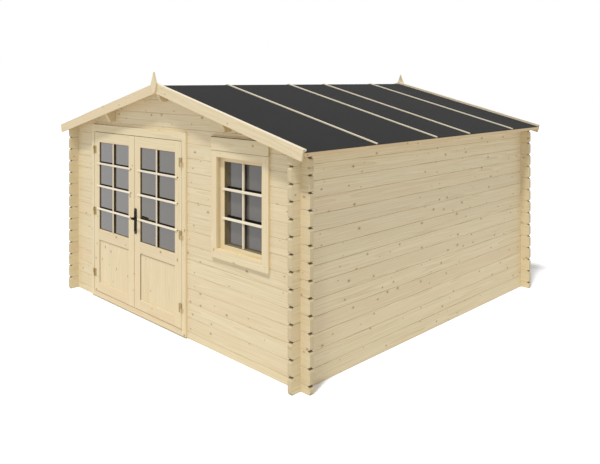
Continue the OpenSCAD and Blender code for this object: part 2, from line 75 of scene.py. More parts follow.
class Grain(Enum):
    """Turn that brings the length of a timber onto X, as Euler angles."""

    ALONG_X = (0.0, 0.0, 0.0)
    ALONG_Y = (0.0, 0.0, -QUARTER_TURN)
    ALONG_Z = (0.0, QUARTER_TURN, 0.0)
    RIGHT_SLOPE = (0.0, -ROOF_PITCH, 0.0)
    LEFT_SLOPE = (0.0, ROOF_PITCH, 0.0)


class Lanes(Enum):
    """Turned coordinate along which one timber follows another: 1 for Y, 2 for Z."""

    SIDEWAYS = 1
    UPWARDS = 2


class Side(Enum):
    """Side of the doorway or of the roof, as the sign of X."""

    LEFT = -1
    RIGHT = 1

    @property
    def word(self) -> str:
        """The side as names write it."""
        return self.name.lower()


# Surfaces


@dataclass
class Surface:
    """Skin of one or more closed shapes: points as an (n, 3) array, faces as lists of point numbers."""

    points: np.ndarray
    faces: list[list[int]]

    def plus(self, *others: "Surface") -> "Surface":
        """This skin and the others as one.

        Args:
            others: the skins to add, in order.

        Returns:
            A skin that holds all their points and faces.
        """
        skins = [self, *others]
        starts = np.cumsum([0, *(len(s.points) for s in skins[:-1])]).tolist()
        faces = [[n + start for n in face] for s, start in zip(skins, starts) for face in s.faces]
        return Surface(np.concatenate([s.points for s in skins]), faces)


def carried(rings: np.ndarray) -> Surface:
    """Skin of closed profiles carried along paths.

    Point j of station i of shape k is rings[k, i, j]. A face joins points j and j + 1 of stations i and
    i + 1, and the first and last station of each shape are closed by a face of their own.

    Args:
        rings: array of shape (shapes, stations, around, 3); profiles run right-handed about the path.

    Returns:
        The closed skin of all the shapes.
    """
    shapes, stations, around = rings.shape[:3]
    k = np.arange(shapes)[:, None, None] * stations * around
    i = np.arange(stations - 1)[None, :, None] * around
    j = np.arange(around)[None, None, :]
    after = (j + 1) % around
    low = k + i
    sides = np.stack([low + j, low + after, low + around + after, low + around + j], axis=-1)
    first = k[:, 0] + np.arange(around)[::-1]
    last = k[:, 0] + np.arange(around) + (stations - 1) * around
    faces = [*sides.reshape(-1, 4).tolist(), *first.tolist(), *last.tolist()]
    return Surface(rings.reshape(-1, 3), faces)


def boards(boxes: np.ndarray, along: Axis, ease: float) -> Surface:
    """Boards with eased edges.

    The profile is a rectangle whose corners are quarter circles of radius ease, and the ends draw in by the
    same quarter circle: ease * (1 - cos t) from the end the profile is smaller by ease * (1 - sin t).

    Args:
        boxes: array of shape (boards, 2, 3) with each board's lowest and highest corner in metres.
        along: direction of the length.
        ease: radius of the edges in metres.

    Returns:
        The skin of all the boards.
    """
    boxes = np.asarray(boxes, float)
    low, high = boxes[:, 0], boxes[:, 1]
    step = np.array([0.0, 0.5, 1.0]) * QUARTER_TURN
    corner = np.repeat(np.arange(4), len(step))
    angle = math.pi + corner * QUARTER_TURN + np.tile(step, 4)
    back = ease * (1 - np.cos(step))
    shrink = ease * (1 - np.sin(step))
    shrink = np.concatenate([shrink, shrink[::-1]])
    rings = np.empty((len(boxes), len(shrink), len(angle), 3))
    d = along.value
    ends = np.concatenate([low[:, d, None] + back, high[:, d, None] - back[::-1]], axis=1)
    rings[..., d] = ends[..., None]
    a, b = along.plane
    for axis, wave, far in ((a, np.cos(angle), (1, 2)), (b, np.sin(angle), (2, 3))):
        is_far = np.isin(corner, far)
        edge = np.where(is_far, high[:, axis, None] - ease, low[:, axis, None] + ease)
        inward = np.where(is_far, -1.0, 1.0)
        rings[..., axis] = (edge + ease * wave)[:, None, :] + shrink[:, None] * inward
    return carried(rings)


def grooved_sheet(
    box: np.ndarray, along: Axis, joints: int, groove: float, grooved: tuple[bool, bool]
) -> Surface:
    """Sheet of matched boards: a flat slab with a V groove at each joint.

    The profile's face dips by groove at the joint, over a width of twice that, and is flat elsewhere.

    Args:
        box: array of shape (2, 3) with the sheet's lowest and highest corner in metres.
        along: direction of the boards' length. They follow one another in the profile's first coordinate.
        joints: number of joints between boards.
        groove: depth of a groove in metres.
        grooved: whether the low and the high face are grooved.

    Returns:
        The skin of the sheet.
    """
    a, b = along.plane
    low, high = box
    joint = np.linspace(low[a], high[a], joints + 2)[1:-1, None]
    place = np.concatenate([[low[a]], (joint + groove * np.array([-1.0, 0.0, 1.0])).ravel(), [high[a]]])
    dip = np.concatenate([[0.0], np.tile([0.0, groove, 0.0], joints), [0.0]])
    outline = np.concatenate([
        np.stack([place, low[b] + dip * grooved[0]], axis=-1),
        np.stack([place[::-1], high[b] - dip[::-1] * grooved[1]], axis=-1),
    ])
    rings = np.empty((1, 2, len(outline), 3))
    rings[..., a], rings[..., b] = outline[:, 0], outline[:, 1]
    rings[..., along.value] = np.array([low[along.value], high[along.value]])[:, None]
    return carried(rings)


def turned(centres: np.ndarray, along: Axis, sign: float, profile: np.ndarray, around: int) -> Surface:
    """Round heads turned about an axis.

    A point lies r(s) * (cos t, sin t) from the head's centre in the plane, and h(s) along the axis.

    Args:
        centres: array of shape (heads, 3) in metres.
        along: direction of the axis.
        sign: 1 where the head looks along the axis, -1 against it.
        profile: array of shape (stations, 2) with radius and height, from the base to the top.
        around: number of points in a turn.

    Returns:
        The skin of all the heads.
    """
    centres, profile = np.asarray(centres, float), np.asarray(profile, float)
    a, b = along.plane
    angle = np.linspace(0.0, 2 * math.pi, around, endpoint=False) * sign
    rings = np.tile(centres[:, None, None, :], (1, len(profile), around, 1))
    rings[..., a] += profile[:, :1] * np.cos(angle)
    rings[..., b] += profile[:, :1] * np.sin(angle)
    rings[..., along.value] += sign * profile[:, 1:]
    return carried(rings)


def swept(path: np.ndarray, radii: np.ndarray, around: int) -> Surface:
    """Bar with an oval section swept along a level path.

    A point is path(s) + radii(s) * (cos t * side(s), sin t * up), with side square to the path and to Z.

    Args:
        path: array of shape (stations, 3) in metres.
        radii: array of shape (stations, 2) with the half width and half height at each station.
        around: number of points in a turn.

    Returns:
        The skin of the bar.
    """
    tangent = np.gradient(path, axis=0)
    tangent /= np.linalg.norm(tangent, axis=1, keepdims=True)
    up = np.array([0.0, 0.0, 1.0])
    side = np.cross(up, tangent)
    angle = np.linspace(0.0, 2 * math.pi, around, endpoint=False)[None, :, None]
    wide, tall = radii[:, None, :1], radii[:, None, 1:]
    rings = path[:, None, :] + wide * np.cos(angle) * side[:, None, :] + tall * np.sin(angle) * up
    return carried(rings[None])


def spots(x: np.ndarray, y: float, z: np.ndarray) -> np.ndarray:
    """Points of the grid that x, y and z span together, as an array of shape (points, 3)."""
    return np.stack(np.broadcast_arrays(x, y, z), axis=-1).reshape(-1, 3)


def piece(name: str, skin: Surface, finish: "Finish", body: str) -> bpy.types.Object:
    """Makes a mesh object of a skin, gives it its finish and lets it ride on a body.

    Args:
        name: name of the piece.
        skin: its points and faces.
        finish: its finish.
        body: body of the part that it moves with.

    Returns:
        The new object, at the origin.
    """
    mesh = bpy.data.meshes.new(name)
    mesh.from_pydata(skin.points.tolist(), [], skin.faces)
    mesh.materials.append(finish.material())
    mesh.shade_smooth()
    mesh.set_sharp_from_angle(angle=SMOOTH_ANGLE)
    made = bpy.data.objects.new(name, mesh)
    bpy.context.scene.collection.objects.link(made)
    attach(made, body)
    log.info("%s: %d faces on %s", name, len(skin.faces), body)
    return made


def dress(finish: "Finish", *nodes: str) -> None:
    """Gives CAD nodes a finish.

    Args:
        finish: the finish.
        nodes: names of the nodes.
    """
    for node in nodes:
        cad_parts[node].material_slots[0].material = finish.material()
        log.info("%s: %s", node, finish.name)


def corners(node: str) -> np.ndarray:
    """Lowest and highest corner of a CAD node as an array of shape (2, 3)."""
    return np.array([list(corner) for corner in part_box(node)])


# Finishes


def linear(hex_colour: str) -> tuple[float, float, float, float]:
    """Linear colour of an sRGB hex value: c / 12.92 below 0.04045, else ((c + 0.055) / 1.055) ** 2.4.

    Args:
        hex_colour: six hex digits.

    Returns:
        Red, green, blue and an alpha of 1.
    """
    parts = np.array([int(hex_colour[i:i + 2], 16) for i in (0, 2, 4)]) / 255
    red, green, blue = np.where(parts <= 0.04045, parts / 12.92, ((parts + 0.055) / 1.055) ** 2.4)
    return float(red), float(green), float(blue), 1.0


def add(
    tree: bpy.types.NodeTree, kind: str, *values: object, out: object = 0, **settings: object
) -> bpy.types.NodeSocket | None:
    """Adds a shader node with its settings, values and links.

    Args:
        tree: node tree to add to.
        kind: node type without its ShaderNode prefix, followed by its operation if it has one.
        values: for the inputs in order: a socket is linked, None is passed over, anything else is set.
        out: number or name of the output to give back.
        settings: properties of the node, and inputs by name with spaces as underscores.

    Returns:
        One output of the new node, if it has any.
    """
    kind, _, operation = kind.partition(" ")
    node = tree.nodes.new("ShaderNode" + kind)
    if operation:
        node.operation = operation
    inputs = dict(enumerate(values))
    for key, value in settings.items():
        if key in node.bl_rna.properties:
            setattr(node, key, value)
        else:
            inputs[key.replace("_", " ")] = value
    for key, value in inputs.items():
        if isinstance(value, bpy.types.NodeSocket):
            tree.links.new(value, node.inputs[key])
        elif value is not None:
            node.inputs[key].default_value = value
    return node.outputs[out] if node.outputs else None


NodeMaker = Callable[..., bpy.types.NodeSocket]


@dataclass(frozen=True)
class Finish:
    """A surface finish, made into a material the first time it is asked for."""

    name: str

    def material(self) -> bpy.types.Material:
        """Makes the finish's material the first time it is asked for.

        Returns:
            The material.
        """
        made = bpy.data.materials.get(self.name)
        if made is None:
            made = bpy.data.materials.new(self.name)
            made.use_nodes = True
            made.node_tree.nodes.clear()
            node = partial(add, made.node_tree)
            node("OutputMaterial", self.skin(node))
        return made

    def skin(self, node: NodeMaker) -> bpy.types.NodeSocket:
        """Builds the nodes and gives back the shader's output."""
        raise NotImplementedError


@dataclass(frozen=True)
class Spruce(Finish):
    """Planed, untreated spruce: pale and satin, with straw-coloured summer wood and small brown knots.

    Each lane is one timber with a chance tone, heart and grain of its own. The year rings are circles round a
    heart beside the timber, so they run out in long ovals on its faces and in arcs on its ends.

    Attributes:
        grain: direction of the timbers.
        lanes: direction in which one timber follows another.
        lane: width of one timber in metres.
        start: where the first timber starts in metres.
        middle: distance of the timbers' middle from the shed's middle plane in metres.
        seed: sets the chance of this finish.
        early: colour of the spring wood.
        late: colour of the summer wood.
        knots: share of the cells that hold a knot.
        joint: darkness of the joints between timbers, 0 for none; it also turns on the painted shade on the
            logs' ends and in their notches.
        tip: distance of the timbers' ends from the shed's middle in metres, 0 where they don't cross.
    """

    grain: Grain
    lanes: Lanes = Lanes.UPWARDS
    lane: float = 0.5
    start: float = 0.0
    middle: float = 0.0
    seed: float = 0.0
    early: str = "E9DAB6"
    late: str = "D0B98A"
    knots: float = 0.4
    joint: float = 0.0
    tip: float = 0.0

    RING = 0.009  # real rings are 2 to 4 mm apart, drawn wider so that they show
    HEART = 0.055  # distance from the timber's middle to the heart
    HEART_ROOM = 0.16  # widest timber that the heart wanders across
    WANDER = 0.05  # how far the rings wander along the timber
    DRIFT = 40.0  # how far apart the patterns of two timbers can lie
    BEND_SCALE = (0.8, 6.0, 6.0)  # waves in a metre, along and across, as the rings wander
    FIBRE_SCALE = (2.2, 150.0, 150.0)  # the same for the fibres
    CLOUD_SCALE = (0.9, 9.0, 9.0)  # the same for the clouds of tone
    KNOT_SPAN = 0.17  # length of the cell that can hold one knot
    KNOT_ROOM = 0.11  # width of that cell
    KNOT_SIZES = (0.022, 0.072)  # least and greatest radius of a knot, in cells
    KNOT_BROWN = "7E5730"
    KNOT_EDGE = "BD9A66"
    ROSY = "E4C9A4"
    END_WOOD = "BFAC82"
    JOINT_BROWN = "9A8459"
    # painted shade in the notches between the logs' ends
    NOTCH_SHADE = "5E4C2E"
    OVERHANG = 0.104  # length of the log's end past the crossing, where it is darker
    NOTCH = 0.034  # length of the log's end over which the joint opens into a notch
    NOTCH_HALF = 0.016  # half the notch's height at the tip

    def skin(self, node: NodeMaker) -> bpy.types.NodeSocket:
        """Builds the nodes of the wood.

        Args:
            node: adds a node to the material.

        Returns:
            The shader's output.
        """
        place = node("TexCoord", out="Object")
        along = node("Mapping", place, None, self.grain.value)
        parts = node("SeparateXYZ", along).node.outputs
        across, deep = parts[self.lanes.value], parts[3 - self.lanes.value]

        offset = node("Math SUBTRACT", across, self.start)
        lane = node("Math DIVIDE", offset, self.lane)
        number = node("Math FLOOR", lane)
        chance_at = node("Math ADD", number, self.seed)
        chance = node("TexWhiteNoise", None, chance_at, noise_dimensions="1D", out="Color")
        tone, heart, drift = node("SeparateColor", chance).node.outputs
        shift = node("Math MULTIPLY", drift, self.DRIFT)

        # Year rings about the heart, which lies a little differently in each timber
        share = node("Math SUBTRACT", lane, number)
        off_heart = node("Math SUBTRACT", share, heart)
        sideways = node("Math MULTIPLY", off_heart, min(self.lane, self.HEART_ROOM))
        plane = node("Math ABSOLUTE", deep)
        behind = node("Math SUBTRACT", plane, self.middle - self.HEART)
        spoke = node("CombineXYZ", sideways, behind)
        radius = node("VectorMath LENGTH", spoke, out="Value")
        slow = node("VectorMath MULTIPLY", along, self.BEND_SCALE)
        wander = node("TexNoise", slow, shift, 1.0, 2.0, noise_dimensions="4D")
        bend = node("Math MULTIPLY", wander, self.WANDER)
        bent = node("Math ADD", radius, bend)
        turns = node("Math DIVIDE", bent, self.RING)
        ring = node("Math FRACT", turns)
        late = node("MapRange", ring, 0.25, 0.95, interpolation_type="SMOOTHSTEP")

        # Fibres of a few millimetres and broad clouds of tone
        fine = node("VectorMath MULTIPLY", along, self.FIBRE_SCALE)
        fibre = node("TexNoise", fine, shift, 1.0, 3.0, noise_dimensions="4D")
        broad = node("VectorMath MULTIPLY", along, self.CLOUD_SCALE)
        cloud = node("TexNoise", broad, shift, 1.0, 2.0, noise_dimensions="4D")
        depth = node("MapRange", cloud, 0.3, 0.7, 0.12, 0.5)
        late_share = node("Math MULTIPLY", late, depth)
        wood = node("MixRGB", late_share, linear(self.early), linear(self.late))
        streak = node("MapRange", fibre, 0.42, 0.75, 0.0, 0.5)
        wood = node("MixRGB", streak, wood, linear(self.late))
        rosy = node("MapRange", tone, 0.4, 1.0, 0.0, 0.3)
        wood = node("MixRGB", rosy, wood, linear(self.ROSY))
        light = node("MapRange", heart, 0.0, 1.0, 0.97, 1.02)
        wood = node("HueSaturation", Value=light, Color=wood)

        # Knots: one to a cell at most, brown with a straw-coloured edge
        cell_u = node("Math DIVIDE", parts[0], self.KNOT_SPAN)
        cell_x = node("Math ADD", cell_u, shift)
        cell_y = node("Math DIVIDE", offset, self.KNOT_ROOM)
        cell = node("CombineXYZ", cell_x, cell_y)
        reach = node("TexVoronoi", cell, voronoi_dimensions="2D", Scale=1.0, Randomness=0.95)
        holds, size, _ = node("SeparateColor", reach.node.outputs["Color"]).node.outputs
        held = node("Math LESS_THAN", holds, self.knots)
        span = node("MapRange", size, 0.0, 1.0, *self.KNOT_SIZES)
        relative = node("Math DIVIDE", reach, span)
        rims = ((self.KNOT_EDGE, 0.9, 2.8, 0.5), (self.KNOT_BROWN, 0.5, 1.2, 0.75))
        for colour, near, far, strength in rims:
            fade = node("MapRange", relative, near, far, strength, 0.0)
            mask = node("Math MULTIPLY", fade, held)
            wood = node("MixRGB", mask, wood, linear(colour))

        # Joints are dark in places; the logs' ends past the crossing and the notches that the joints open
        # into between them are darkened as painted shade
        if self.joint:
            edge = node("Math SUBTRACT", share, 0.5)
            from_middle = node("Math ABSOLUTE", edge)
            from_joint = node("Math SUBTRACT", from_middle, 0.5)
            depth = node("Math MULTIPLY", from_joint, -self.lane)
            broken = node("MapRange", fibre, 0.45, 0.68, 0.1 * self.joint, self.joint)
            line = node("MapRange", depth, 0.002, 0.005, broken, 0.0)
            wood = node("MixRGB", line, wood, linear(self.JOINT_BROWN))
            run = node("Math ABSOLUTE", parts[0])
            from_tip = node("Math SUBTRACT", self.tip, run)
            # painted shade: the logs' ends past the crossing are drawn darker
            end_shade = node("MapRange", from_tip, self.OVERHANG - 0.01, self.OVERHANG, 0.15, 0.0)
            wood = node("MixRGB", end_shade, wood, linear(self.END_WOOD))
            # painted shade: a dark notch where the joint meets the log's end
            notch = node("MapRange", from_tip, 0.0, self.NOTCH, self.NOTCH_HALF, 0.0)
            inside = node("Math SUBTRACT", notch, depth)
            mask = node("MapRange", inside, 0.0, 0.004, 0.0, 0.78)
            wood = node("MixRGB", mask, wood, linear(self.NOTCH_SHADE))

        # Sawn ends are darker
        facing = node("TexCoord", out="Normal")
        end_on = node("Mapping", facing, vector_type="NORMAL", Rotation=self.grain.value)
        ahead = node("Math ABSOLUTE", node("SeparateXYZ", end_on))
        end = node("MapRange", ahead, 0.8, 0.98, 0.0, 0.5)
        wood = node("MixRGB", end, wood, linear(self.END_WOOD))

        relief = node("Math ADD", late, fibre)
        bump = node("Bump", Strength=0.2, Distance=0.0008, Height=relief)
        rough = node("MapRange", fibre, 0.3, 0.7, 0.5, 0.66)
        return node("BsdfPrincipled", wood, Roughness=rough, Normal=bump, IOR=1.5)


@dataclass(frozen=True)
class MineralFelt(Finish):
    """Bitumen roofing felt with a face of crushed slate: dark grey, dull and gritty.

    Attributes:
        dark: colour of the bitumen between the grains.
        pale: colour of the grains.
    """

    dark: str = "181818"
    pale: str = "2D2D2C"

    GRIT = 0.007  # real grains are 1 to 2 mm, drawn coarser so that they show

    def skin(self, node: NodeMaker) -> bpy.types.NodeSocket:
        """Builds the nodes of the felt.

        Args:
            node: adds a node to the material.

        Returns:
            The shader's output.
        """
        place = node("TexCoord", out="Object")
        grit = node("TexNoise", place, None, 1 / self.GRIT, 2.0)
        cloud = node("TexNoise", place, None, 2.2, 3.0)
        grains = node("MapRange", grit, 0.3, 0.7)
        worn = node("MapRange", cloud, 0.3, 0.7, 0.35, 0.65)
        share = node("Math MULTIPLY_ADD", grains, worn, 0.18)
        colour = node("MixRGB", share, linear(self.dark), linear(self.pale))
        bump = node("Bump", Strength=0.5, Distance=0.0015, Height=grit)
        return node("BsdfPrincipled", colour, Roughness=0.95, Normal=bump, Specular_IOR_Level=0.25)


@dataclass(frozen=True)
class CoatedGlass(Finish):
    """Sun-protection glass: a dark pane under a smooth coating that mirrors the bright surroundings as grey.

    Attributes:
        tint: colour of the pane.
        deep_tint: colour of its darker patches.
        mirror: refractive index of the coating; a high one mirrors more.
    """

    tint: str
    deep_tint: str
    mirror: float

    CLEAR = 0.2  # share of the light in the pane that goes through

    def skin(self, node: NodeMaker) -> bpy.types.NodeSocket:
        """Builds the nodes of the glass.

        Args:
            node: adds a node to the material.

        Returns:
            The shader's output.
        """
        place = node("TexCoord", out="Object")
        cloud = node("TexNoise", place, None, 1.8, 2.0)
        colour = node("MixRGB", cloud, linear(self.tint), linear(self.deep_tint))
        rough = node("MapRange", cloud, 0.3, 0.7, 0.02, 0.04)
        return node(
            "BsdfPrincipled", colour, Roughness=rough, IOR=1.5, Transmission_Weight=self.CLEAR,
            Coat_Weight=1.0, Coat_Roughness=rough, Coat_IOR=self.mirror,
        )


@dataclass(frozen=True)
class Fitting(Finish):
    """Metal or rubber of a small fitting, with a fine speckle in its colour, gloss and surface.

    Attributes:
        base: main colour.
        fleck: colour of the speckle.
        grain: size of the speckle in metres, drawn coarser than real so that it shows.
        metallic: 1 for bare metal, 0 for a coating or rubber.
        smooth: lowest roughness.
        dull: highest roughness.
        ior: index of refraction, lower for a matt skin that mirrors little.
    """

    base: str
    fleck: str
    grain: float
    metallic: float
    smooth: float
    dull: float
    ior: float = 1.5

    def skin(self, node: NodeMaker) -> bpy.types.NodeSocket:
        """Builds the nodes of the fitting.

        Args:
            node: adds a node to the material.

        Returns:
            The shader's output.
        """
        place = node("TexCoord", out="Object")
        speckle = node("TexNoise", place, None, 1 / self.grain, 2.0)
        share = node("MapRange", speckle, 0.35, 0.65)
        colour = node("MixRGB", share, linear(self.base), linear(self.fleck))
        rough = node("MapRange", speckle, 0.3, 0.7, self.smooth, self.dull)
        bump = node("Bump", Strength=0.1, Distance=0.0004, Height=speckle)
        return node(
            "BsdfPrincipled", colour, Metallic=self.metallic, Roughness=rough, IOR=self.ior, Normal=bump
        )


def slope_woods(kind: str, seed: float, **settings: object) -> dict[Side, Spruce]:
    """Spruce for timbers along both slopes of the roof, each side with a chance of its own.

    Args:
        kind: what the timbers are.
        seed: chance of the left side.
        settings: other fields of the wood.

    Returns:
        The wood of each side.
    """
    slopes = {Side.LEFT: (Grain.LEFT_SLOPE, seed), Side.RIGHT: (Grain.RIGHT_SLOPE, seed + 20.0)}
    return {
        side: Spruce(f"planed_spruce_{side.word}_{kind}", grain, seed=chance, **settings)
        for side, (grain, chance) in slopes.items()
    }


COURSE = 0.14  # height of one log
LOG_MIDDLE = 1.898  # distance of a wall's middle plane from the shed's
DOOR_PLANE = 1.93  # distance of the doors' and casings' middle plane from the shed's
FLOOR_BOARD = 0.0957  # width of one floor board
ROOF_BOARD = 0.0991  # width of one roof board

# Wood tones: boards are warm and pale, trim has fewer knots, freshly planed bars and battens are pale, the
# level bars palest as a painted highlight on their lit tops, eave strips are darker, and the quirk strips are
# painted shade
BOARD_WOOD = {"middle": DOOR_PLANE, "early": "EADAB4", "late": "D7C091", "knots": 0.25}
TRIM_WOOD = {"middle": 2.0, "early": "E9D8B3", "late": "D9C497", "knots": 0.15}
BAR_WOOD = {"early": "EADDC4", "late": "DCCCAC", "knots": 0.1}
PALE_WOOD = {"early": "F3E9D2", "late": "E6D8B8", "knots": 0.1}
EAVE_TONE = {"early": "D6BD90", "late": "B5996C"}
PAINTED_SHADE_TONE = {"early": "8E7448", "late": "6F5935", "knots": 0.0}
PURLIN_TONE = {"early": "E0CEA6", "late": "C8B080"}

# Logs have dark joints, and painted shade on their ends and in the notches between them, which other timbers
# lack
LOG = {"lane": COURSE, "middle": LOG_MIDDLE, "joint": 0.4, "tip": 2.024}
WIDE = {"lanes": Lanes.SIDEWAYS, "lane": 0.6, "start": 0.3}
FLOORING = {"lanes": Lanes.SIDEWAYS, "lane": FLOOR_BOARD, "start": -1.866}
ROOFING = {"lanes": Lanes.SIDEWAYS, "lane": ROOF_BOARD, "start": -2.032}

FRONT_LOGS = Spruce("planed_spruce_logs_x", Grain.ALONG_X, start=COURSE / 2, **LOG)
SIDE_LOGS = Spruce("planed_spruce_logs_y", Grain.ALONG_Y, seed=40.0, **LOG)
PURLIN_WOOD = Spruce("planed_spruce_purlins", Grain.ALONG_Y, middle=2.1, seed=90.0, **WIDE, **PURLIN_TONE)
JOIST_WOOD = Spruce("sawn_spruce_joists", Grain.ALONG_Y, middle=0.02, seed=110.0, **WIDE)
FLOOR_WOOD = Spruce("planed_spruce_floor", Grain.ALONG_X, middle=0.055, seed=130.0, **FLOORING)
UPRIGHT_WOOD = Spruce("planed_spruce_uprights", Grain.ALONG_Z, lane=0.19, seed=170.0, **BOARD_WOOD)
LEVEL_WOOD = Spruce("planed_spruce_rails", Grain.ALONG_X, lane=0.26, seed=190.0, **BOARD_WOOD)
PANEL_WOOD = Spruce("planed_spruce_panels", Grain.ALONG_Z, lane=0.0942, seed=210.0, **BOARD_WOOD)
# level bars are paler than the upright ones, a painted highlight on their lit tops
BAR_LEVEL = Spruce("planed_spruce_level_bars", Grain.ALONG_X, middle=DOOR_PLANE, seed=230.0, **PALE_WOOD)
BAR_UPRIGHT = Spruce("planed_spruce_upright_bars", Grain.ALONG_Z, middle=DOOR_PLANE, seed=250.0, **BAR_WOOD)
QUIRK_SHADE_WOOD = Spruce("shaded_spruce_panel_edges", Grain.ALONG_Z, middle=DOOR_PLANE, seed=410.0, **PAINTED_SHADE_TONE)
EAVE_WOOD = Spruce("planed_spruce_eave_strips", Grain.ALONG_Y, middle=1.7, seed=270.0, **EAVE_TONE)
SLOPE_TRIM = slope_woods("slope", 290.0, **TRIM_WOOD)
BATTEN_WOOD = slope_woods("battens", 370.0, middle=2.0, **PALE_WOOD)
ROOF_WOOD = slope_woods("roof", 330.0, middle=2.4, **ROOFING)

FELT = MineralFelt("mineral_roofing_felt")

# The left leaf's coating mirrors more than the right one's: two copies of one glass, a painted difference in
# reflection
DOOR_GLASS = {
    Side.LEFT: CoatedGlass("coated_glass_left_door", "463917", "3C2F10", 2.42),
    Side.RIGHT: CoatedGlass("coated_glass_right_door", "463717", "3C2E10", 2.18),
}
WINDOW_GLASS = CoatedGlass("coated_glass_window", "736E68", "6A655F", 1.45)

# Yellow zinc plate is pale and satin; the hinge leaves and their screws have a darker copy of it, painted
# shade
BRASS = Fitting("yellow_zinc_plate", "E6DCC2", "D0C3A0", 0.004, 0.5, 0.34, 0.5)
HINGE_SHADE_BRASS = Fitting("hinge_leaves_painted_shade", "BCA472", "9E875A", 0.004, 0.3, 0.4, 0.6)
PIN_BRASS = Fitting("yellow_hinge_pins", "DCCAA0", "C8B385", 0.004, 0.3, 0.4, 0.6)

# Bronzed and browned steel are dark and matt, galvanised nails dull and grey
BRONZE = Fitting("bronzed_steel", "15100A", "221A10", 0.003, 0.0, 0.6, 0.75, 1.28)
BROWN_PIN = Fitting("browned_steel_pins", "A48C60", "8C754C", 0.003, 0.0, 0.5, 0.7)
ZINC = Fitting("galvanised_nails", "B3AA96", "968C78", 0.002, 1.0, 0.4, 0.6)

# Rubber behind the bars is nearly black, partly as painted shade beside the bars; dark strips on the glass
# are painted reflections; the gaskets round the panes are browns painted as shade in the reveal; the cover
# board's strips are painted shadow
RUBBER_AND_SHADE = Fitting("brown_glazing_rubber", "0F0A07", "1A130D", 0.004, 0.0, 0.65, 0.8, 1.28)
DOOR_GASKET_SHADE = Fitting("door_gasket_painted_shade", "6A5836", "7A6844", 0.004, 0.0, 0.65, 0.8)
WINDOW_GASKET_SHADE = Fitting("olive_window_gasket", "8A7A54", "786944", 0.004, 0.0, 0.6, 0.8)
SHADOW_LINE = Fitting("painted_shadow_lines", "5C4A2C", "4A3A20", 0.004, 0.0, 0.6, 0.8)

# Radius and height of a head's profile, in metres
NAIL_HEAD = [(0.0026, 0.0), (0.0026, 0.0004), (0.0016, 0.0008), (0.0005, 0.0009)]
SCREW_HEAD = [(0.0042, 0.0), (0.0040, 0.0009), (0.0026, 0.0016), (0.0008, 0.0018)]
HEAD_POINTS = 8


# Sub-assemblies


def build_frame(
    name: str, node: str, body: str, stile: float, rails: list[tuple[float, float]], ease: float
) -> None:
    """Builds the stiles and rails of a door leaf or sash in place of its CAD node.

    Args:
        name: start of the pieces' names.
        node: the CAD node.
        body: body that they move with.
        stile: width of a stile in metres.
        rails: foot and top of each rail, z.
        ease: radius of the edges.
    """
    low, high = corners(node)
    x0, x1 = low[0] + stile, high[0] - stile
    stiles = [[low, (x0, high[1], high[2])], [(x1, low[1], low[2]), high]]
    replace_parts(piece(f"{name}_stiles", boards(stiles, Axis.Z, ease), UPRIGHT_WOOD, body), node)
    boxes = [[(x0, low[1], z0), (x1, high[1], z1)] for z0, z1 in rails]
    piece(f"{name}_rails", boards(boxes, Axis.X, ease), LEVEL_WOOD, body)


def build_casing_nails(
    name: str, sides: str, between: np.ndarray, inset: float, count: int,
    rows: list[tuple[np.ndarray, float, int]],
) -> None:
    """Builds nail heads down the middles of two side casings and along the level boards.

    Args:
        name: name of the piece.
        sides: CAD node of the side casings.
        between: corners of a board that fills the room between them.
        inset: distance of the first and last nail from a casing's end in metres.
        count: number of nails in each side casing.
        rows: corners of each level board, height of its nails and their number.
    """
    low, high = corners(sides)
    columns = np.array([(low[0] + between[0, 0]) / 2, (between[1, 0] + high[0]) / 2])[:, None]
    heads = [spots(columns, low[1], np.linspace(low[2] + inset, high[2] - inset, count))]
    for box, z, number in rows:
        heads.append(spots(np.linspace(box[0, 0] + inset, box[1, 0] - inset, number), box[0, 1], z))
    skin = turned(np.concatenate(heads), Axis.Y, -1.0, NAIL_HEAD, HEAD_POINTS)
    piece(name, skin, ZINC, "shed")


@dataclass
class LogWalls:
    """The four log walls and the log over the doors."""

    def dress(self) -> None:
        """Gives every log its wood."""
        gabled = [f"{wall}_wall_logs_{row}" for wall in ("front", "back") for row in "ab"]
        plain = [f"{wall}_wall_logs_{row}" for wall in ("left", "right") for row in "ab"]
        dress(FRONT_LOGS, *gabled, "door_lintel_log")
        dress(SIDE_LOGS, *plain)


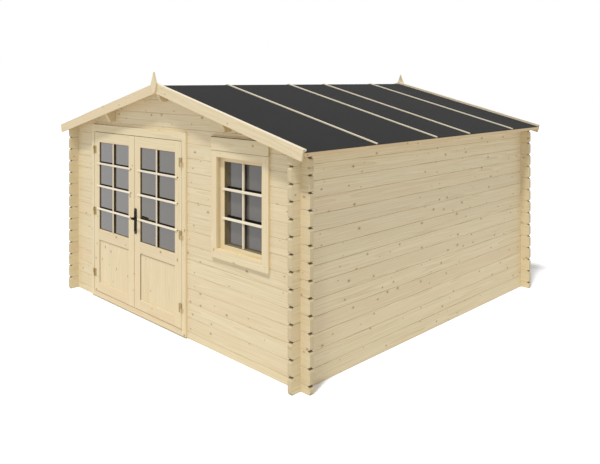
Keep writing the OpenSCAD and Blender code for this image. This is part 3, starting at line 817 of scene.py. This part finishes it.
@dataclass
class Roof:
    """Purlins, boards, felt, battens, bargeboards and finials.

    Attributes:
        board: width of one roof board in metres.
        groove: depth of the groove between roof boards.
        nail_step: distance between the nails of a batten, along the slope.
        barge_nails: distances of the bargeboards' nails from the ridge.
        barge_middle: distance of the bargeboards' middle line below their top.
        nail_pair: half the distance between two nails, one over the other.
        laps: middles of the battens over the felt's laps, y.
        batten: width of a batten.
        capping: how far the cappings stand over the bargeboards.
    """

    board: float = ROOF_BOARD
    groove: float = 0.004
    nail_step: float = 0.34
    barge_nails: tuple[float, ...] = (0.12, 0.56, 1.017, 1.5, 1.94)
    barge_middle: float = 0.049
    nail_pair: float = 0.022
    laps: tuple[float, ...] = (-1.12, -0.182, 0.432, 1.37)
    batten: float = 0.020
    capping: float = 0.0025

    def build(self) -> None:
        """Builds the matched boards, the cappings and the nails."""
        for side in Side:
            self.build_boards(side)
            self.build_batten_nails(side)
            self.build_cappings(side)
        self.build_barge_nails()

    def build_boards(self, side: Side) -> None:
        """Boards on one slope: a level grooved sheet, sheared so that z falls by the slope times |x|.

        Args:
            side: slope of the roof.
        """
        node = f"{side.word}_roof_boards"
        low, high = corners(node)
        reach = max(abs(low[0]), abs(high[0]))
        thick = high[2] - low[2] - reach * ROOF_FALL
        sheet = np.array([[low[0], low[1], 0.0], [high[0], high[1], thick]])
        joints = round((high[1] - low[1]) / self.board) - 1
        skin = grooved_sheet(sheet, Axis.X, joints, self.groove, (True, False))
        skin.points[:, 2] += high[2] - thick - np.abs(skin.points[:, 0]) * ROOF_FALL
        made = piece(f"{side.word}_roof_boarding", skin, ROOF_WOOD[side], "shed")
        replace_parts(made, node)

    def build_cappings(self, side: Side) -> None:
        """Pale strips over the bargeboards and edge battens of one slope, sheared as the boards are.

        Args:
            side: slope of the roof.
        """
        batten = corners(f"{side.word}_roof_battens")
        strips = []
        for end in ("front", "back"):
            low, high = corners(f"{end}_{side.word}_bargeboard")
            inner = high[1] if end == "front" else low[1]
            past = inner + math.copysign(self.batten, -inner)
            drop = high[2] - batten[1, 2]
            strips.append([(low[0], low[1], 0.0), (high[0], high[1], self.capping)])
            strips.append([(low[0], min(inner, past), -drop), (high[0], max(inner, past), self.capping)])
        skin = boards(strips, Axis.X, self.capping / 3)
        ridge = corners(f"front_{side.word}_bargeboard")[1, 2]
        skin.points[:, 2] += ridge - np.abs(skin.points[:, 0]) * ROOF_FALL
        piece(f"{side.word}_edge_cappings", skin, BATTEN_WOOD[side], "shed")

    def build_batten_nails(self, side: Side) -> None:
        """Nail heads in a row along each batten of one slope, on its upper face.

        Args:
            side: slope of the roof.
        """
        low, high = corners(f"{side.word}_roof_battens")
        reach = max(abs(low[0]), abs(high[0]))
        half = self.batten / 2
        rows = np.array([low[1] + half, *self.laps, high[1] - half])
        out = np.arange(self.nail_step / 2, reach, self.nail_step)
        x, y = np.meshgrid(side.value * out, rows)
        z = high[2] - np.abs(x) * ROOF_FALL
        centres = np.stack([x, y, z], axis=-1).reshape(-1, 3)
        skin = turned(centres, Axis.Z, 1.0, NAIL_HEAD, HEAD_POINTS)
        piece(f"{side.word}_batten_nails", skin, ZINC, "shed")

    def build_barge_nails(self) -> None:
        """Pairs of nail heads in the faces of the four bargeboards, along their middle line."""
        skins = []
        for end, sign in (("front", -1.0), ("back", 1.0)):
            low, high = corners(f"{end}_right_bargeboard")
            face = low[1] if sign < 0 else high[1]
            out = np.array(self.barge_nails)
            line = high[2] - out * ROOF_FALL - self.barge_middle
            pair = np.array([-self.nail_pair, self.nail_pair])[:, None]
            centres = spots(np.concatenate([out, -out]), face, np.tile(line, 2) + pair)
            skins.append(turned(centres, Axis.Y, sign, NAIL_HEAD, HEAD_POINTS))
        piece("bargeboard_nails", skins[0].plus(*skins[1:]), ZINC, "shed")

    def dress(self) -> None:
        """Gives the roof's CAD nodes their finishes."""
        dress(PURLIN_WOOD, "roof_purlins")
        dress(FELT, "roof_felt")
        dress(EAVE_WOOD, "eave_strips")
        dress(UPRIGHT_WOOD, "finials")
        for side in Side:
            barges = [f"{end}_{side.word}_bargeboard" for end in ("front", "back")]
            dress(SLOPE_TRIM[side], *barges)
            dress(BATTEN_WOOD[side], f"{side.word}_roof_battens")


@dataclass
class Floor:
    """Joists and floor boards.

    Attributes:
        board: width of one floor board in metres.
        groove: depth of the groove between boards.
    """

    board: float = FLOOR_BOARD
    groove: float = 0.002

    def build(self) -> None:
        """Builds the matched floor boards."""
        box = corners("floor_boards")
        joints = round((box[1, 1] - box[0, 1]) / self.board) - 1
        skin = grooved_sheet(box, Axis.X, joints, self.groove, (False, True))
        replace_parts(piece("floor_boarding", skin, FLOOR_WOOD, "shed"), "floor_boards")

    def dress(self) -> None:
        """Gives the joists their wood."""
        dress(JOIST_WOOD, "floor_joists")


@dataclass
class Glazing:
    """Bars on both faces of a pane with their pins, the near-black rubber behind them, partly painted shade,
    dark strips on the glass that are painted reflections, and the gasket round the pane, coloured as painted
    shade in the reveal.

    Attributes:
        low: lowest corner of the clear opening, x and z in metres.
        high: highest corner of the clear opening.
        face: outer face of the frame, y.
        pane: outer face of the glass, y.
        pane_back: inner face of the glass, y.
        back: inner face of the frame, y.
        rows: heights of the level bars' middles.
        bar: width of a bar.
        proud: how far the bars stand out from the frame.
        deep: how far the level bars and the wood of the opening reach behind the frame's face.
        upright: distances of the upright bar's front and back behind the frame's face.
        overlap: how far the level bars run onto the stiles.
        stem: width of the rubber behind a bar, whose near-black partly stands in for the shade beside the
            bar.
        lining: thickness of the gasket round the opening.
        reflection_bead: height of the dark strip on the glass over each level bar, a painted reflection of
            the bar's shaded side.
        side_reflection_bead: width of the dark strip on the glass at both sides of the opening, a painted
            reflection of the shaded reveal.
        gasket: finish of the gasket round the opening, brown as painted shade in the reveal.
    """

    low: tuple[float, float]
    high: tuple[float, float]
    face: float
    pane: float
    pane_back: float
    back: float
    rows: tuple[float, ...]
    bar: float = 0.020
    proud: float = 0.011
    deep: float = 0.003
    upright: tuple[float, float] = (-0.009, 0.003)
    overlap: float = 0.046
    stem: float = 0.016
    lining: float = 0.004
    reflection_bead: float = 0.017
    side_reflection_bead: float = 0.002
    gasket: Fitting = DOOR_GASKET_SHADE

    ROUND = 0.0045  # radius of the bars' outer edges
    EASE = 0.001  # radius of all other edges
    SEAT = 0.001  # how far a bar is let into the wood behind it
    PIN = [(0.006, 0.0), (0.006, 0.002), (0.004, 0.0035)]

    @property
    def middle(self) -> float:
        """Middle of the opening, x."""
        return (self.low[0] + self.high[0]) / 2

    def level_boxes(self, half: float, run_on: float, y0: float, y1: float) -> list[list[tuple[float, ...]]]:
        """Boxes of the level bars.

        Args:
            half: half the height of a bar.
            run_on: how far they run past the opening.
            y0: outer face.
            y1: inner face.

        Returns:
            One pair of corners per bar.
        """
        x0, x1 = self.low[0] - run_on, self.high[0] + run_on
        return [[(x0, y0, z - half), (x1, y1, z + half)] for z in self.rows]

    def upright_box(self, half: float, y0: float, y1: float) -> list[list[tuple[float, ...]]]:
        """Box of the upright bar in the middle, over the height of the opening, as a list of one."""
        return [[(self.middle - half, y0, self.low[1]), (self.middle + half, y1, self.high[1])]]

    def build(self, name: str, body: str) -> None:
        """Builds the bars, the rubber, the gasket and the pins.

        Args:
            name: start of the pieces' names.
            body: body that they move with.
        """
        half, seat = self.bar / 2, self.SEAT
        front, behind = self.face - self.proud, self.face + self.deep
        level = boards(self.level_boxes(half, self.overlap, front, self.face + seat), Axis.X, self.ROUND)
        level = level.plus(boards(self.level_boxes(half, 0.0, self.face, behind), Axis.X, self.EASE))
        # their pale wood is a painted highlight on the lit tops of the level bars
        piece(f"{name}_level_bars", level, BAR_LEVEL, body)
        upright = self.upright_box(half, *(self.face + y for y in self.upright))
        piece(f"{name}_upright_bar", boards(upright, Axis.Z, self.ROUND), BAR_UPRIGHT, body)
        inner = boards(self.level_boxes(half, 0.0, self.pane_back, self.back), Axis.X, self.EASE)
        upright = self.upright_box(half, self.pane_back, self.back - seat)
        inner = inner.plus(boards(upright, Axis.Z, self.EASE))
        piece(f"{name}_inner_bars", inner, BAR_LEVEL, body)
        # painted shade and reflections: near-black rubber beside the bars, dark strips on the glass, brown
        # gasket in the reveal
        piece(f"{name}_glazing_rubber", self.rubber(), RUBBER_AND_SHADE, body)
        piece(f"{name}_glazing_gasket", self.reveal(), self.gasket, body)
        past = self.overlap + self.PIN[0][0]
        ends = np.array([self.low[0] - past, self.high[0] + past])[:, None]
        pins = turned(spots(ends, self.face, np.array(self.rows)), Axis.Y, -1.0, self.PIN, HEAD_POINTS)
        piece(f"{name}_bar_pins", pins, BROWN_PIN, body)

    def rubber(self) -> Surface:
        """Dark rubber behind the bars, its near-black partly painted shade, and dark strips on the glass over
        the level bars, painted reflections of the bars' shaded sides.

        Returns:
            Their skin.
        """
        half, y1, t, x0, x1 = self.stem / 2, self.pane, self.lining, self.low[0], self.high[0]
        reflection_beads = [[(x0, y1 - t, z + half), (x1, y1, z + half + self.reflection_bead)] for z in self.rows]
        level = self.level_boxes(half, 0.0, self.face + self.deep, y1) + reflection_beads
        upright = self.upright_box(half, self.face + self.upright[1], y1)
        return boards(level, Axis.X, self.EASE).plus(boards(upright, Axis.Z, self.EASE))

    def reveal(self) -> Surface:
        """Gasket round the opening, from behind the frame's face to the glass, brown as painted shade in the
        reveal, and dark strips on the glass at its sides, painted reflections of the shaded reveal.

        Returns:
            Its skin.
        """
        (x0, z0), (x1, z1) = self.low, self.high
        y0, y1, t = self.face + self.deep, self.pane, self.lining
        level = [[(x0, y0, z0), (x1, y1, z0 + t)], [(x0, y0, z1 - t), (x1, y1, z1)]]
        sides = [
            [(x0, y0, z0), (x0 + t, y1, z1)],
            [(x1 - t, y0, z0), (x1, y1, z1)],
            [(x0 + t, y1 - t, z0), (x0 + t + self.side_reflection_bead, y1, z1)],
            [(x1 - t - self.side_reflection_bead, y1 - t, z0), (x1 - t, y1, z1)],
        ]
        return boards(level, Axis.X, self.EASE).plus(boards(sides, Axis.Z, self.EASE))


@dataclass
class DoorLeaf:
    """One glazed door leaf with its boarded panel and hinges.

    Attributes:
        side: side of the doorway.
        stile: width of a stile in metres.
        top_rail: width of the top rail.
        bottom_rail: width of the bottom rail.
        panel_high: height of the panel between its rails.
        lock_rail: width of the rail between panel and glass.
        glass_set: depth of the inner pane behind the leaf's face.
        glass_thick: thickness of a pane.
        glass_unit: how far the double glazing's outer pane lies in front of the inner one.
        rows: heights of the level glazing bars.
        panel_joints: joints between the panel's boards.
        groove: depth of the grooves between them.
        ease: radius of the frame's edges.
        fine_ease: radius of the outer pane's edges.
        quirk: width of the dark strip between panel and frame, painted shade of the gap.
        hinge_half: half the height of a hinge.
        screw_inset: distance of the hinges' screws from the plates' free edges.
        screw_step: distance between the screws, one over the other.
        plate: thickness of a hinge plate.
    """

    side: Side
    stile: float = 0.112
    top_rail: float = 0.113
    bottom_rail: float = 0.107
    panel_high: float = 0.490
    lock_rail: float = 0.124
    glass_set: float = 0.022
    glass_thick: float = 0.004
    glass_unit: float = 0.010
    rows: tuple[float, ...] = (1.030, 1.293, 1.550)
    panel_joints: int = 6
    groove: float = 0.0015
    ease: float = 0.002
    fine_ease: float = 0.0005
    quirk: float = 0.005
    hinge_half: float = 0.044
    screw_inset: float = 0.031
    screw_step: float = 0.028
    plate: float = 0.0025

    @property
    def name(self) -> str:
        """Name of the leaf and of its body."""
        return f"{self.side.word}_door"

    def build(self) -> None:
        """Builds stiles, rails, panel, glazing bars and hinge screws."""
        low, high = corners(f"{self.name}_frame")
        x0, x1 = low[0] + self.stile, high[0] - self.stile
        panel_z = low[2] + self.bottom_rail
        lock_z = panel_z + self.panel_high
        glass_z = lock_z + self.lock_rail
        top_z = high[2] - self.top_rail
        rails = [(low[2], panel_z), (lock_z, glass_z), (top_z, high[2])]
        build_frame(self.name, f"{self.name}_frame", self.name, self.stile, rails, self.ease)
        self.build_panel((x0, panel_z), (x1, lock_z))
        self.build_glazing((x0, glass_z), (x1, top_z), low[1], high[1])
        self.build_screws()

    def build_panel(self, low: tuple[float, float], high: tuple[float, float]) -> None:
        """Matched boards in place of the panel, and dark strips of painted shade at its sides and top.

        Args:
            low: lowest corner of the panel's opening, x and z.
            high: highest corner of the panel's opening.
        """
        panel = corners(f"{self.name}_panel")
        skin = grooved_sheet(panel, Axis.Z, self.panel_joints, self.groove, (True, True))
        made = piece(f"{self.name}_boards", skin, PANEL_WOOD, self.name)
        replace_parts(made, f"{self.name}_panel")
        (x0, z0), (x1, z1) = low, high
        # painted shade: dark strips where the gap round the panel lies in shade
        face, gap = panel[0, 1], self.quirk
        sides = [[(x, face - gap, z0), (x + gap, face, z1)] for x in (x0, x1 - gap)]
        top = [[(x0, face - gap, z1 - gap), (x1, face, z1)]]
        skin = boards(sides, Axis.Z, self.groove / 2).plus(boards(top, Axis.X, self.groove / 2))
        piece(f"{self.name}_panel_edges", skin, QUIRK_SHADE_WOOD, self.name)

    def build_glazing(
        self, low: tuple[float, float], high: tuple[float, float], face: float, back: float
    ) -> None:
        """Outer pane of the double glazing in front of the CAD pane, and the bars.

        Args:
            low: lowest corner of the glazed opening, x and z.
            high: highest corner of the glazed opening.
            face: outer face of the leaf, y.
            back: inner face of the leaf, y.
        """
        pane = face + self.glass_set
        outer = pane - self.glass_unit
        sheet = [[(low[0], outer, low[1]), (high[0], outer + self.glass_thick, high[1])]]
        skin = boards(sheet, Axis.X, self.fine_ease)
        piece(f"{self.name}_outer_pane", skin, DOOR_GLASS[self.side], self.name)
        glazing = Glazing(low, high, face, outer, pane + self.glass_thick, back, self.rows)
        glazing.build(self.name, self.name)

    def build_screws(self) -> None:
        """Screw heads in the hinge plates: three over each other beside each knuckle."""
        low, high = corners(f"{self.side.word}_hinge_leaves")
        frame_low, frame_high = corners(f"{self.name}_frame")
        x = high[0] - self.screw_inset if self.side is Side.LEFT else low[0] + self.screw_inset
        middle = (frame_low[2] + frame_high[2]) / 2
        step = (high[2] - low[2]) / 2 - self.hinge_half
        three = np.array([-1.0, 0.0, 1.0])
        z = middle + (step * three)[:, None] + self.screw_step * three
        centres = spots(x, frame_low[1] - self.plate, z)
        skin = turned(centres, Axis.Y, -1.0, SCREW_HEAD, HEAD_POINTS)
        # the screws share the hinge leaves' darker brass, painted shade
        piece(f"{self.side.word}_hinge_screws", skin, HINGE_SHADE_BRASS, self.name)

    def dress(self) -> None:
        """Gives the leaf's CAD nodes their finishes."""
        dress(DOOR_GLASS[self.side], f"{self.name}_glass")
        # the hinge leaves' darker brass is painted shade
        dress(HINGE_SHADE_BRASS, f"{self.side.word}_hinge_leaves")


@dataclass
class Doorway:
    """Posts, head and casings of the doorway, with the fixed halves of the hinges.

    Attributes:
        nail_inset: distance of a row's first nail from the casing's end in metres.
        head_middle: distance of the head board's middle below its top.
        sill_middle: distance of the sill board's middle above its foot.
        side_nails: number of nails in each side casing.
        level_nails: number of nails in the head board and in the sill board.
    """

    nail_inset: float = 0.07
    head_middle: float = 0.041
    sill_middle: float = 0.028
    side_nails: int = 6
    level_nails: int = 5

    def build(self) -> None:
        """Builds the casings' nails."""
        inner = corners("door_head_casing")
        heights = (inner[0, 2] + self.sill_middle, inner[1, 2] - self.head_middle)
        rows = [(inner, z, self.level_nails) for z in heights]
        build_casing_nails(
            "door_casing_nails", "door_side_casings", inner, self.nail_inset, self.side_nails, rows
        )

    def dress(self) -> None:
        """Gives the doorway's CAD nodes their finishes."""
        dress(UPRIGHT_WOOD, "door_posts", "door_side_casings")
        dress(LEVEL_WOOD, "door_head", "door_head_casing")
        dress(PIN_BRASS, "hinge_pins")


@dataclass
class Handle:
    """Lever handle on the right leaf: two long plates, a keyhole, roses, screws and the levers.

    Attributes:
        axis_x: spindle, x in metres.
        axis_z: spindle, z.
        length: length of a lever from the spindle.
        out: distance from the leaf's middle to a lever's middle line.
        bend: radius of the bend between neck and lever.
        neck: half thickness of the neck.
        tip: half thickness of the lever's end.
        droop: how far the lever's end hangs down.
        screw_inset: distance of a plate's screws from its ends.
        key_drop: distance of the keyhole's eye below the spindle.
    """

    axis_x: float = -0.5365
    axis_z: float = 1.040
    length: float = 0.112
    out: float = 0.078
    bend: float = 0.016
    neck: float = 0.0095
    tip: float = 0.008
    droop: float = 0.004
    screw_inset: float = 0.016
    key_drop: float = 0.085

    AROUND = 24
    TURN_POINTS, RUN_POINTS, CAP_POINTS = 9, 13, 6  # along the bend, the lever and its end
    FLAT = 0.8  # a lever's width over its height
    BLUNT = 0.98  # share of the end's quarter circle that is drawn
    LEAST = 0.0002  # half thickness that the end closes to
    ROSE = [(0.0165, 0.0), (0.0165, 0.0028), (0.0145, 0.0045), (0.0098, 0.0050)]
    HAIR = 0.0004  # how far the keyhole stands proud
    EYE = [(0.0045, 0.0), (0.0045, HAIR)]
    SLOT = (0.002, 0.014)  # half width and length of the slot

    def build(self) -> None:
        """Builds the levers, the roses, the screws and the keyholes."""
        low, high = corners("handle_plates")
        middle = (low[1] + high[1]) / 2
        levers = self.lever(middle, -1.0).plus(self.lever(middle, 1.0))
        made = piece("door_levers", levers, BRONZE, "door_handle")
        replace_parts(made, "handle_levers")

        roses, screws, holes = [], [], []
        for sign, face in ((-1.0, low[1]), (1.0, high[1])):
            roses.append(turned([(self.axis_x, face, self.axis_z)], Axis.Y, sign, self.ROSE, self.AROUND))
            ends = [(self.axis_x, face, z) for z in (low[2] + self.screw_inset, high[2] - self.screw_inset)]
            screws.append(turned(ends, Axis.Y, sign, SCREW_HEAD, HEAD_POINTS))
            holes.append(self.keyhole(face, sign))
        piece("handle_roses", roses[0].plus(roses[1]), BRONZE, "right_door")
        piece("handle_screws", screws[0].plus(screws[1]), BRASS, "right_door")
        piece("handle_keyholes", holes[0].plus(holes[1]), RUBBER_AND_SHADE, "right_door")

    def keyhole(self, face: float, sign: float) -> Surface:
        """Keyhole in a plate: a round eye over a slot, both a hair proud of the plate.

        Args:
            face: y of the plate's face.
            sign: direction that the plate looks in.

        Returns:
            Its skin.
        """
        z, (half, long) = self.axis_z - self.key_drop, self.SLOT
        eye = turned([(self.axis_x, face, z)], Axis.Y, sign, self.EYE, 2 * HEAD_POINTS)
        y0, y1 = sorted((face, face + sign * self.HAIR))
        slot = [[(self.axis_x - half, y0, z - long), (self.axis_x + half, y1, z)]]
        return eye.plus(boards(slot, Axis.Z, self.HAIR / 4))

    def lever(self, middle: float, sign: float) -> Surface:
        """One lever: straight out along the spindle, round a quarter circle and along the leaf.

        The half thickness falls evenly from neck to tip, and closes over the last few millimetres as a
        quarter circle does. The end hangs by droop, as the square of the distance along the lever.

        Args:
            middle: y of the leaf's middle.
            sign: direction that the lever stands out in.

        Returns:
            Its skin.
        """
        turn = np.linspace(0.0, 1.0, self.TURN_POINTS)[1:] * QUARTER_TURN
        run = np.linspace(self.bend, self.length, self.RUN_POINTS)[1:]
        close = np.linspace(0.0, 1.0, self.CAP_POINTS)[1:] * QUARTER_TURN
        cap = self.length + self.tip * np.sin(close) * self.BLUNT
        x = np.concatenate([[0.0, 0.0], self.bend * (1 - np.cos(turn)), run, cap])
        level = np.full(len(run) + len(cap), self.out)
        y = np.concatenate([[0.0, self.out - self.bend], self.out - self.bend * (1 - np.sin(turn)), level])
        share = np.clip(x / self.length, 0.0, 1.0)
        path = np.stack([self.axis_x + x, middle + sign * y, self.axis_z - self.droop * share**2], axis=-1)
        half = self.neck + (self.tip - self.neck) * share
        half[-len(cap):] = self.tip * np.cos(close) + self.LEAST
        return swept(path, np.stack([self.FLAT * half, half], axis=-1), self.AROUND)

    def dress(self) -> None:
        """Gives the plates their finish."""
        dress(BRONZE, "handle_plates")


@dataclass
class Window:
    """Fixed window: frame, casings, cover board, sash, glass and bars.

    Attributes:
        stile: width of the sash's stiles in metres.
        rail: width of the sash's rails.
        rows: heights of the level glazing bars.
        ease: radius of the edges.
        nail_inset: distance of the first nail from the end of a casing.
        side_nails: number of nails in each side casing.
        level_nails: number of nails in the foot casing, the head casing and the cover board.
        shadow_line: height of the upper dark strip on the cover board, a painted shadow line.
        shadow_line_drop: distance of the strip's top below the board's.
    """

    stile: float = 0.058
    rail: float = 0.040
    rows: tuple[float, ...] = (1.245, 1.512)
    ease: float = 0.002
    nail_inset: float = 0.05
    side_nails: int = 4
    level_nails: tuple[int, int, int] = (3, 3, 4)
    shadow_line: float = 0.008
    shadow_line_drop: float = 0.004

    def build(self) -> None:
        """Builds the sash, its bars, the painted shadow lines on the cover board and the casings' nails."""
        low, high = corners("window_sash")
        x0, x1 = low[0] + self.stile, high[0] - self.stile
        z0, z1 = low[2] + self.rail, high[2] - self.rail
        rails = [(low[2], z0), (z1, high[2])]
        build_frame("window", "window_sash", "shed", self.stile, rails, self.ease)
        pane = corners("window_glass")
        glazing = Glazing(
            (x0, z0), (x1, z1), low[1], pane[0, 1], pane[1, 1], high[1], self.rows, bar=0.023,
            upright=(0.004, 0.024), overlap=0.02, reflection_bead=0.016, side_reflection_bead=0.010, gasket=WINDOW_GASKET_SHADE,
        )
        glazing.build("window", "shed")
        self.build_shadow_lines()
        self.build_nails()

    def build_shadow_lines(self) -> None:
        """Dark strips of painted shadow along the cover board: one a little below its top, a thin one at its
        foot.
        """
        (x0, y0, foot), (x1, _, z) = corners("window_cover_board")
        top = z - self.shadow_line_drop
        spans = ((top - self.shadow_line, top), (foot - self.ease / 2, foot + self.ease / 2))
        strips = [[(x0, y0 - self.ease, z0), (x1, y0 + self.ease, z1)] for z0, z1 in spans]
        # painted shadow: dark lines along the cover board's top and foot
        piece("window_shadow_lines", boards(strips, Axis.X, self.ease / 4), SHADOW_LINE, "shed")

    def build_nails(self) -> None:
        """Nail heads along the middle of each casing board."""
        boxes = [corners(f"window_{n}") for n in ("foot_casing", "head_casing", "cover_board")]
        rows = [(box, box[:, 2].mean(), count) for box, count in zip(boxes, self.level_nails)]
        build_casing_nails(
            "window_casing_nails", "window_side_casings", boxes[0], self.nail_inset, self.side_nails, rows
        )

    def dress(self) -> None:
        """Gives the window's CAD nodes their finishes."""
        dress(UPRIGHT_WOOD, "window_side_casings")
        dress(LEVEL_WOOD, "window_frame", "window_head_casing", "window_foot_casing", "window_cover_board")
        dress(WINDOW_GLASS, "window_glass")


@dataclass
class Studio:
    """Pale floor, soft light and the camera at the photograph's place.

    Attributes:
        ambient: brightness of the light from all round.
        key: strength of the key light.
        key_angle: apparent width of the key light in radians; a wide one gives soft shadows.
        key_from: direction that the key light comes from.
        floor_half: half the floor's side in metres.
        camera_at: place of the camera in metres.
        camera_yaw: turn of the camera about Z; it looks level.
        focal: focal length in picture widths.
        horizon: height of the horizon over the picture's middle, in picture widths.
    """

    PICTURE = 600  # width of the photograph in pixels

    ambient: float = 0.48
    key: float = 2.1
    key_angle: float = math.radians(7)
    key_from: tuple[float, float, float] = (0.142, -0.406, 0.903)
    floor_half: float = 40.0
    camera_at: tuple[float, float, float] = (5.634, -5.659, 2.5055)
    camera_yaw: float = 0.783
    focal: float = 655.27 / PICTURE
    horizon: float = (232 - 80.32) / PICTURE

    FLOOR_GREY = "EEEFF1"
    FLOOR_LIFT = "8C8F94"  # added for the camera alone
    SENSOR = 36.0  # width of the sensor in mm
    FAR = 200.0  # end of the camera's view in metres

    @staticmethod
    def seen(tree: bpy.types.NodeTree) -> bpy.types.NodeSocket:
        """Tells rays that see the background from those that only light the shed.

        Args:
            tree: node tree of the world.

        Returns:
            1 for rays from the camera and for those that mirrors and glass send on, else 0.
        """
        rays = add(tree, "LightPath").node.outputs
        mirrored = add(tree, "Math MAXIMUM", rays["Is Glossy Ray"], rays["Is Transmission Ray"])
        return add(tree, "Math MAXIMUM", rays["Is Camera Ray"], mirrored)

    def build_floor(self) -> None:
        """Level floor under the shed, brighter to the camera, so that it is white outside the shadow."""
        half = self.floor_half
        mesh = bpy.data.meshes.new("studio_floor")
        plan = [(-half, -half, 0), (half, -half, 0), (half, half, 0), (-half, half, 0)]
        mesh.from_pydata(plan, [], [(0, 1, 2, 3)])
        paint = bpy.data.materials.new("pale_floor_paint")
        paint.use_nodes = True
        tree = paint.node_tree
        tree.nodes.clear()
        matt = add(tree, "BsdfDiffuse", linear(self.FLOOR_GREY))
        bright = add(tree, "AddShader", matt, add(tree, "BsdfDiffuse", linear(self.FLOOR_LIFT)))
        direct = add(tree, "LightPath", out="Is Camera Ray")
        add(tree, "OutputMaterial", add(tree, "MixShader", direct, matt, bright))
        mesh.materials.append(paint)
        floor = bpy.data.objects.new("studio_floor", mesh)
        bpy.context.scene.collection.objects.link(floor)

    def build_light(self) -> None:
        """Even light from all round, white to the camera and in mirrors, and one wide key light."""
        world = bpy.data.worlds.new("studio")
        world.use_nodes = True
        tree = world.node_tree
        tree.nodes.clear()
        soft = add(tree, "Background", (1, 1, 1, 1), self.ambient)
        white = add(tree, "Background", (1, 1, 1, 1), 1.0)
        add(tree, "OutputWorld", add(tree, "MixShader", self.seen(tree), soft, white))
        bpy.context.scene.world = world
        lamp = bpy.data.lights.new("key", "SUN")
        lamp.energy, lamp.angle = self.key, self.key_angle
        key = bpy.data.objects.new("key", lamp)
        x, y, z = self.key_from
        key.rotation_euler = (math.atan2(math.hypot(x, y), z), 0.0, math.atan2(x, -y))
        bpy.context.scene.collection.objects.link(key)

    def build_camera(self) -> None:
        """Level camera, shifted so that the horizon lies where the photograph has it."""
        lens = bpy.data.cameras.new("camera")
        lens.sensor_width = self.SENSOR
        lens.lens = self.focal * self.SENSOR
        lens.shift_y = -self.horizon
        lens.clip_end = self.FAR
        camera = bpy.data.objects.new("camera", lens)
        camera.location = self.camera_at
        camera.rotation_euler = (QUARTER_TURN, 0.0, self.camera_yaw)
        bpy.context.scene.collection.objects.link(camera)
        bpy.context.scene.camera = camera
        bpy.context.scene.view_settings.view_transform = "Standard"

    def build(self) -> None:
        """Builds floor, light and camera."""
        self.build_floor()
        self.build_light()
        self.build_camera()


def main() -> None:
    """Builds and dresses every sub-assembly, then the studio."""
    walls, roof, floor = LogWalls(), Roof(), Floor()
    doorway, handle, window = Doorway(), Handle(), Window()
    leaves = [DoorLeaf(side) for side in Side]
    for part in (roof, floor, doorway, *leaves, handle, window):
        part.build()
    for part in (walls, roof, floor, doorway, *leaves, handle, window):
        part.dress()
    Studio().build()


if __name__ == "__main__":
    main()
